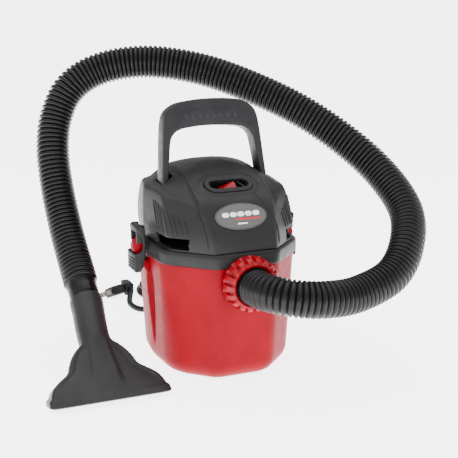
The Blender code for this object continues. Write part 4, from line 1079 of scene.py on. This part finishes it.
# %% [markdown]
# ## The utility nozzle
# The nozzle is a polypropylene blow moulding: a round tube that flattens and flares to a wide slot. Seen
# from above it has round shoulders, a thick lip along its mouth and two sunken cheeks beside a middle rib.
# Rings of a superellipse make the flare, and the cheeks and lip are pressed into them.

# %% Nozzle
NOZZLE_FRAME = Matrix.Translation((-144 * MM, -75 * MM, 9.17 * MM)) @ Matrix.Rotation(radians(-52), 4, "X")
NOZZLE_TABLE = [
    (0.0, 63.4, 11.3, 8.0), (5.0, 62.4, 11.4, 8.0), (6.5, 60.2, 10.8, 8.0), (10.0, 58.4, 11.0, 7.0),
    (14.0, 54.8, 11.2, 6.0), (18.0, 48.0, 11.5, 5.2), (21.5, 40.6, 11.8, 4.8), (24.5, 36.8, 12.0, 4.5),
    (29.0, 35.0, 12.3, 4.2), (37.0, 31.4, 13.0, 3.8), (43.0, 27.6, 13.8, 3.2), (47.5, 23.8, 14.6, 2.8),
    (51.0, 20.2, 15.4, 2.4), (54.5, 17.8, 16.4, 2.1), (60.0, 17.0, 17.0, 2.0), (76.0, 17.1, 17.1, 2.0),
    (95.0, 17.4, 17.4, 2.0), (109.0, 17.9, 17.9, 2.0), (112.0, 17.4, 17.4, 2.0),
]
LIP_REACH = 19.0       # how far the top face runs past the bottom one, down to the floor


def nozzle_ring(height):
    half, thick, power = spline(NOZZLE_TABLE, height)
    ring = []
    for step in range(144):
        angle = 2 * pi * step / 144
        c, s = cos(angle), sin(angle)
        reach = (abs(c) ** power + abs(s) ** power) ** (-1 / power)
        x, y = half * c * reach, thick * s * reach
        rib = 16.5 - 0.14 * height
        across = smooth_step(rib - 1.5, rib + 1.8, abs(x)) * (1 - smooth_step(half - 8.0, half - 3.0, abs(x)))
        along = smooth_step(5.0, 22.0, height) * (1 - smooth_step(44.0, 54.0, height))
        down = LIP_REACH * (0.5 - 0.5 * y / thick) * (1 - smooth_step(-4.0, 30.0, height))
        if abs(y) > thick * 0.55:
            y -= (1 if y > 0 else -1) * 3.0 * across * along
        lean = 3.0 * (1 - smooth_step(62.0, 112.0, height))
        ring.append(NOZZLE_FRAME @ (Vector((x - lean, y, height - down)) * MM))
    return ring


nozzle_heights = [1.0 * i for i in range(0, 60)] + [60 + 3.25 * i for i in range(17)]
nozzle_bm = grow([nozzle_ring(h) for h in nozzle_heights], cap_first=False, cap_last=False)
nozzle = finish("utility_nozzle_shell", nozzle_bm, nozzle_black, "base", ["utility_nozzle"],
                wall=2.2 * MM, angle=45)

# %% Cuff between hose and nozzle
cuff_profile = [(17.4, 134.0), (16.6, 133.0), (16.2, 126.0), (15.9, 113.2), (15.4, 112.2), (13.6, 112.2), (13.6, 134.0)]
cuff_bm = join([turned(cuff_profile, (0, 0, 0), "Z", 72), block((-4.5, -16.7, 115), (4.5, -15.2, 127), 0.6)])
bmesh.ops.transform(cuff_bm, matrix=NOZZLE_FRAME, verts=cuff_bm.verts)
cuff = finish("nozzle_cuff", cuff_bm, hose_black, "base", ["hose_cuff_nozzle"], angle=40)

# %% [markdown]
# ## Plug and strain relief
# The lead ends in a moulded two-blade plug with a right-angled neck. Its blades are nickel-plated brass,
# 12.7 mm apart, each with the small hole that a socket's spring clicks into. Where the lead leaves the
# head, a ribbed and tapered sleeve keeps it from kinking.

# %% Plug
PLUG_FRAME = (Matrix.Translation((-25 * MM, 250 * MM, 9.6 * MM)) @ Matrix.Rotation(radians(205), 4, "Z")
              @ Matrix.Rotation(radians(25), 4, "X"))
plug_outline = [(-2, -4.0), (7, -4.4), (10, -6.6), (13, -9.4), (16, -10), (29, -10), (32, -8.5), (32, 8.5),
                (29, 10), (16, 10), (13, 9.4), (10, 6.6), (7, 4.4), (-2, 4.0)]
plug_parts = [plate(plug_outline, 12.4, PLUG_FRAME, edge=2.6, segments=4)]
plug_parts.append(block((-31, 240, 1.2), (-19, 262, 18), 2.4, segments=4))
for number in range(4):
    plug_parts.append(block((-31.6, 241.6 + 3.4 * number, 3.0), (-18.4, 243.0 + 3.4 * number, 16.4), 0.6, segments=2))
plug_parts.append(plate([(15, -6), (27, -6), (27, 6), (15, 6)], 1.2, lifted(PLUG_FRAME, 0, 0, 6.2), edge=0.4))
plug = finish("plug_body", join(plug_parts), plug_black, "base", ["power_plug"])
blades = []
for y in (-6.35, 6.35):
    blade = ring_plate([(33 + 16 * a, 3.2 * b) for a, b in ((0, -1), (0.9, -1), (1, -0.5), (1, 0.5), (0.9, 1), (0, 1))],
                       [(44 + 1.6 * a, 1.6 * b) for a, b in ((-1, -0.5), (0, -1), (1, -0.5), (1, 0.5), (0, 1), (-1, 0.5))],
                       1.5, PLUG_FRAME @ Matrix.Translation((-1.5 * MM, y * MM, 0)) @ UPRIGHT, 0.2)
    blades.append(blade)
finish("plug_blades", join(blades), nickel_brass, "base")

# %% Strain relief
relief_profile = [(3.9, 112.0), (5.1, 112.0), (5.4, 111.2)]
for number in range(7):
    near = 108.5 - 3.6 * number
    out = 5.5 + 0.22 * number
    relief_profile += [(out, near + 1.6), (out, near - 0.2), (out - 1.0, near - 0.8), (out - 0.95, near - 1.8)]
relief_profile += [(7.2, 83.6), (9.2, 83.2), (9.5, 82.6), (9.5, 81.7), (5.8, 81.7), (5.8, 74.0), (3.9, 74.0)]
relief = turned(relief_profile, (0, 0, 160), "Y", 64)
finish("cord_sleeve", relief, cord_black, "head", ["strain_relief"], angle=40)

# %% [markdown]
# ## Pieces that keep their CAD shape
# The motor, fan, filter and pins are already right as modelled, so they only get the finish of what they
# are made from. A CAD node is never moved or reshaped.


# %% Dress the CAD nodes
def dress(material, *names):
    for name in names:
        for holder in nodes[name].material_slots:
            holder.material = material
    print("dressed", ", ".join(names))


dress(laminated_steel, "motor_stator")
dress(wound_copper, "motor_armature")
dress(worked_metal("drawn_copper", "#C98150", "#8C4A26", 0.3, 1.6, "Z", 0.3), "commutator")
dress(carbon_brush, "brush_left", "brush_right")
dress(bright_steel, "motor_shaft", "bearing_lower", "bearing_upper", "latch_pin_left", "latch_pin_right")
dress(zinc_steel, "motor_plate", "motor_bracket", "plate_screw_1", "plate_screw_2", "plate_screw_3",
      "plate_screw_4")
dress(cast_aluminium, "impeller")
dress(white_nylon, "cooling_fan", "float_ball")
dress(inner_black, "fan_housing", "filter_cage")
dress(filter_foam, "foam_sleeve")
dress(seal_rubber, "lid_seal")
dress(hose_black, "hose_cuff_inlet")

# %% [markdown]
# ## The floor
# The floor is a wide pale sheet that belongs to the stage and not to the vacuum.

# %% Floor
floor_bm = bmesh.new()
bmesh.ops.create_grid(floor_bm, x_segments=1, y_segments=1, size=60.0)
floor_paper = moulded("seamless_paper_white", "#FBFBFB", "#F8F8F8", 0.6, 3.0, 0.02, drift_mm=900.0)
table_glow = floor_paper.node_tree.nodes["Principled BSDF"]
table_glow.inputs["Emission Color"].default_value = (1, 1, 1, 1)
table_glow.inputs["Emission Strength"].default_value = 4.2
floor = finish("studio_floor", floor_bm, floor_paper, None)
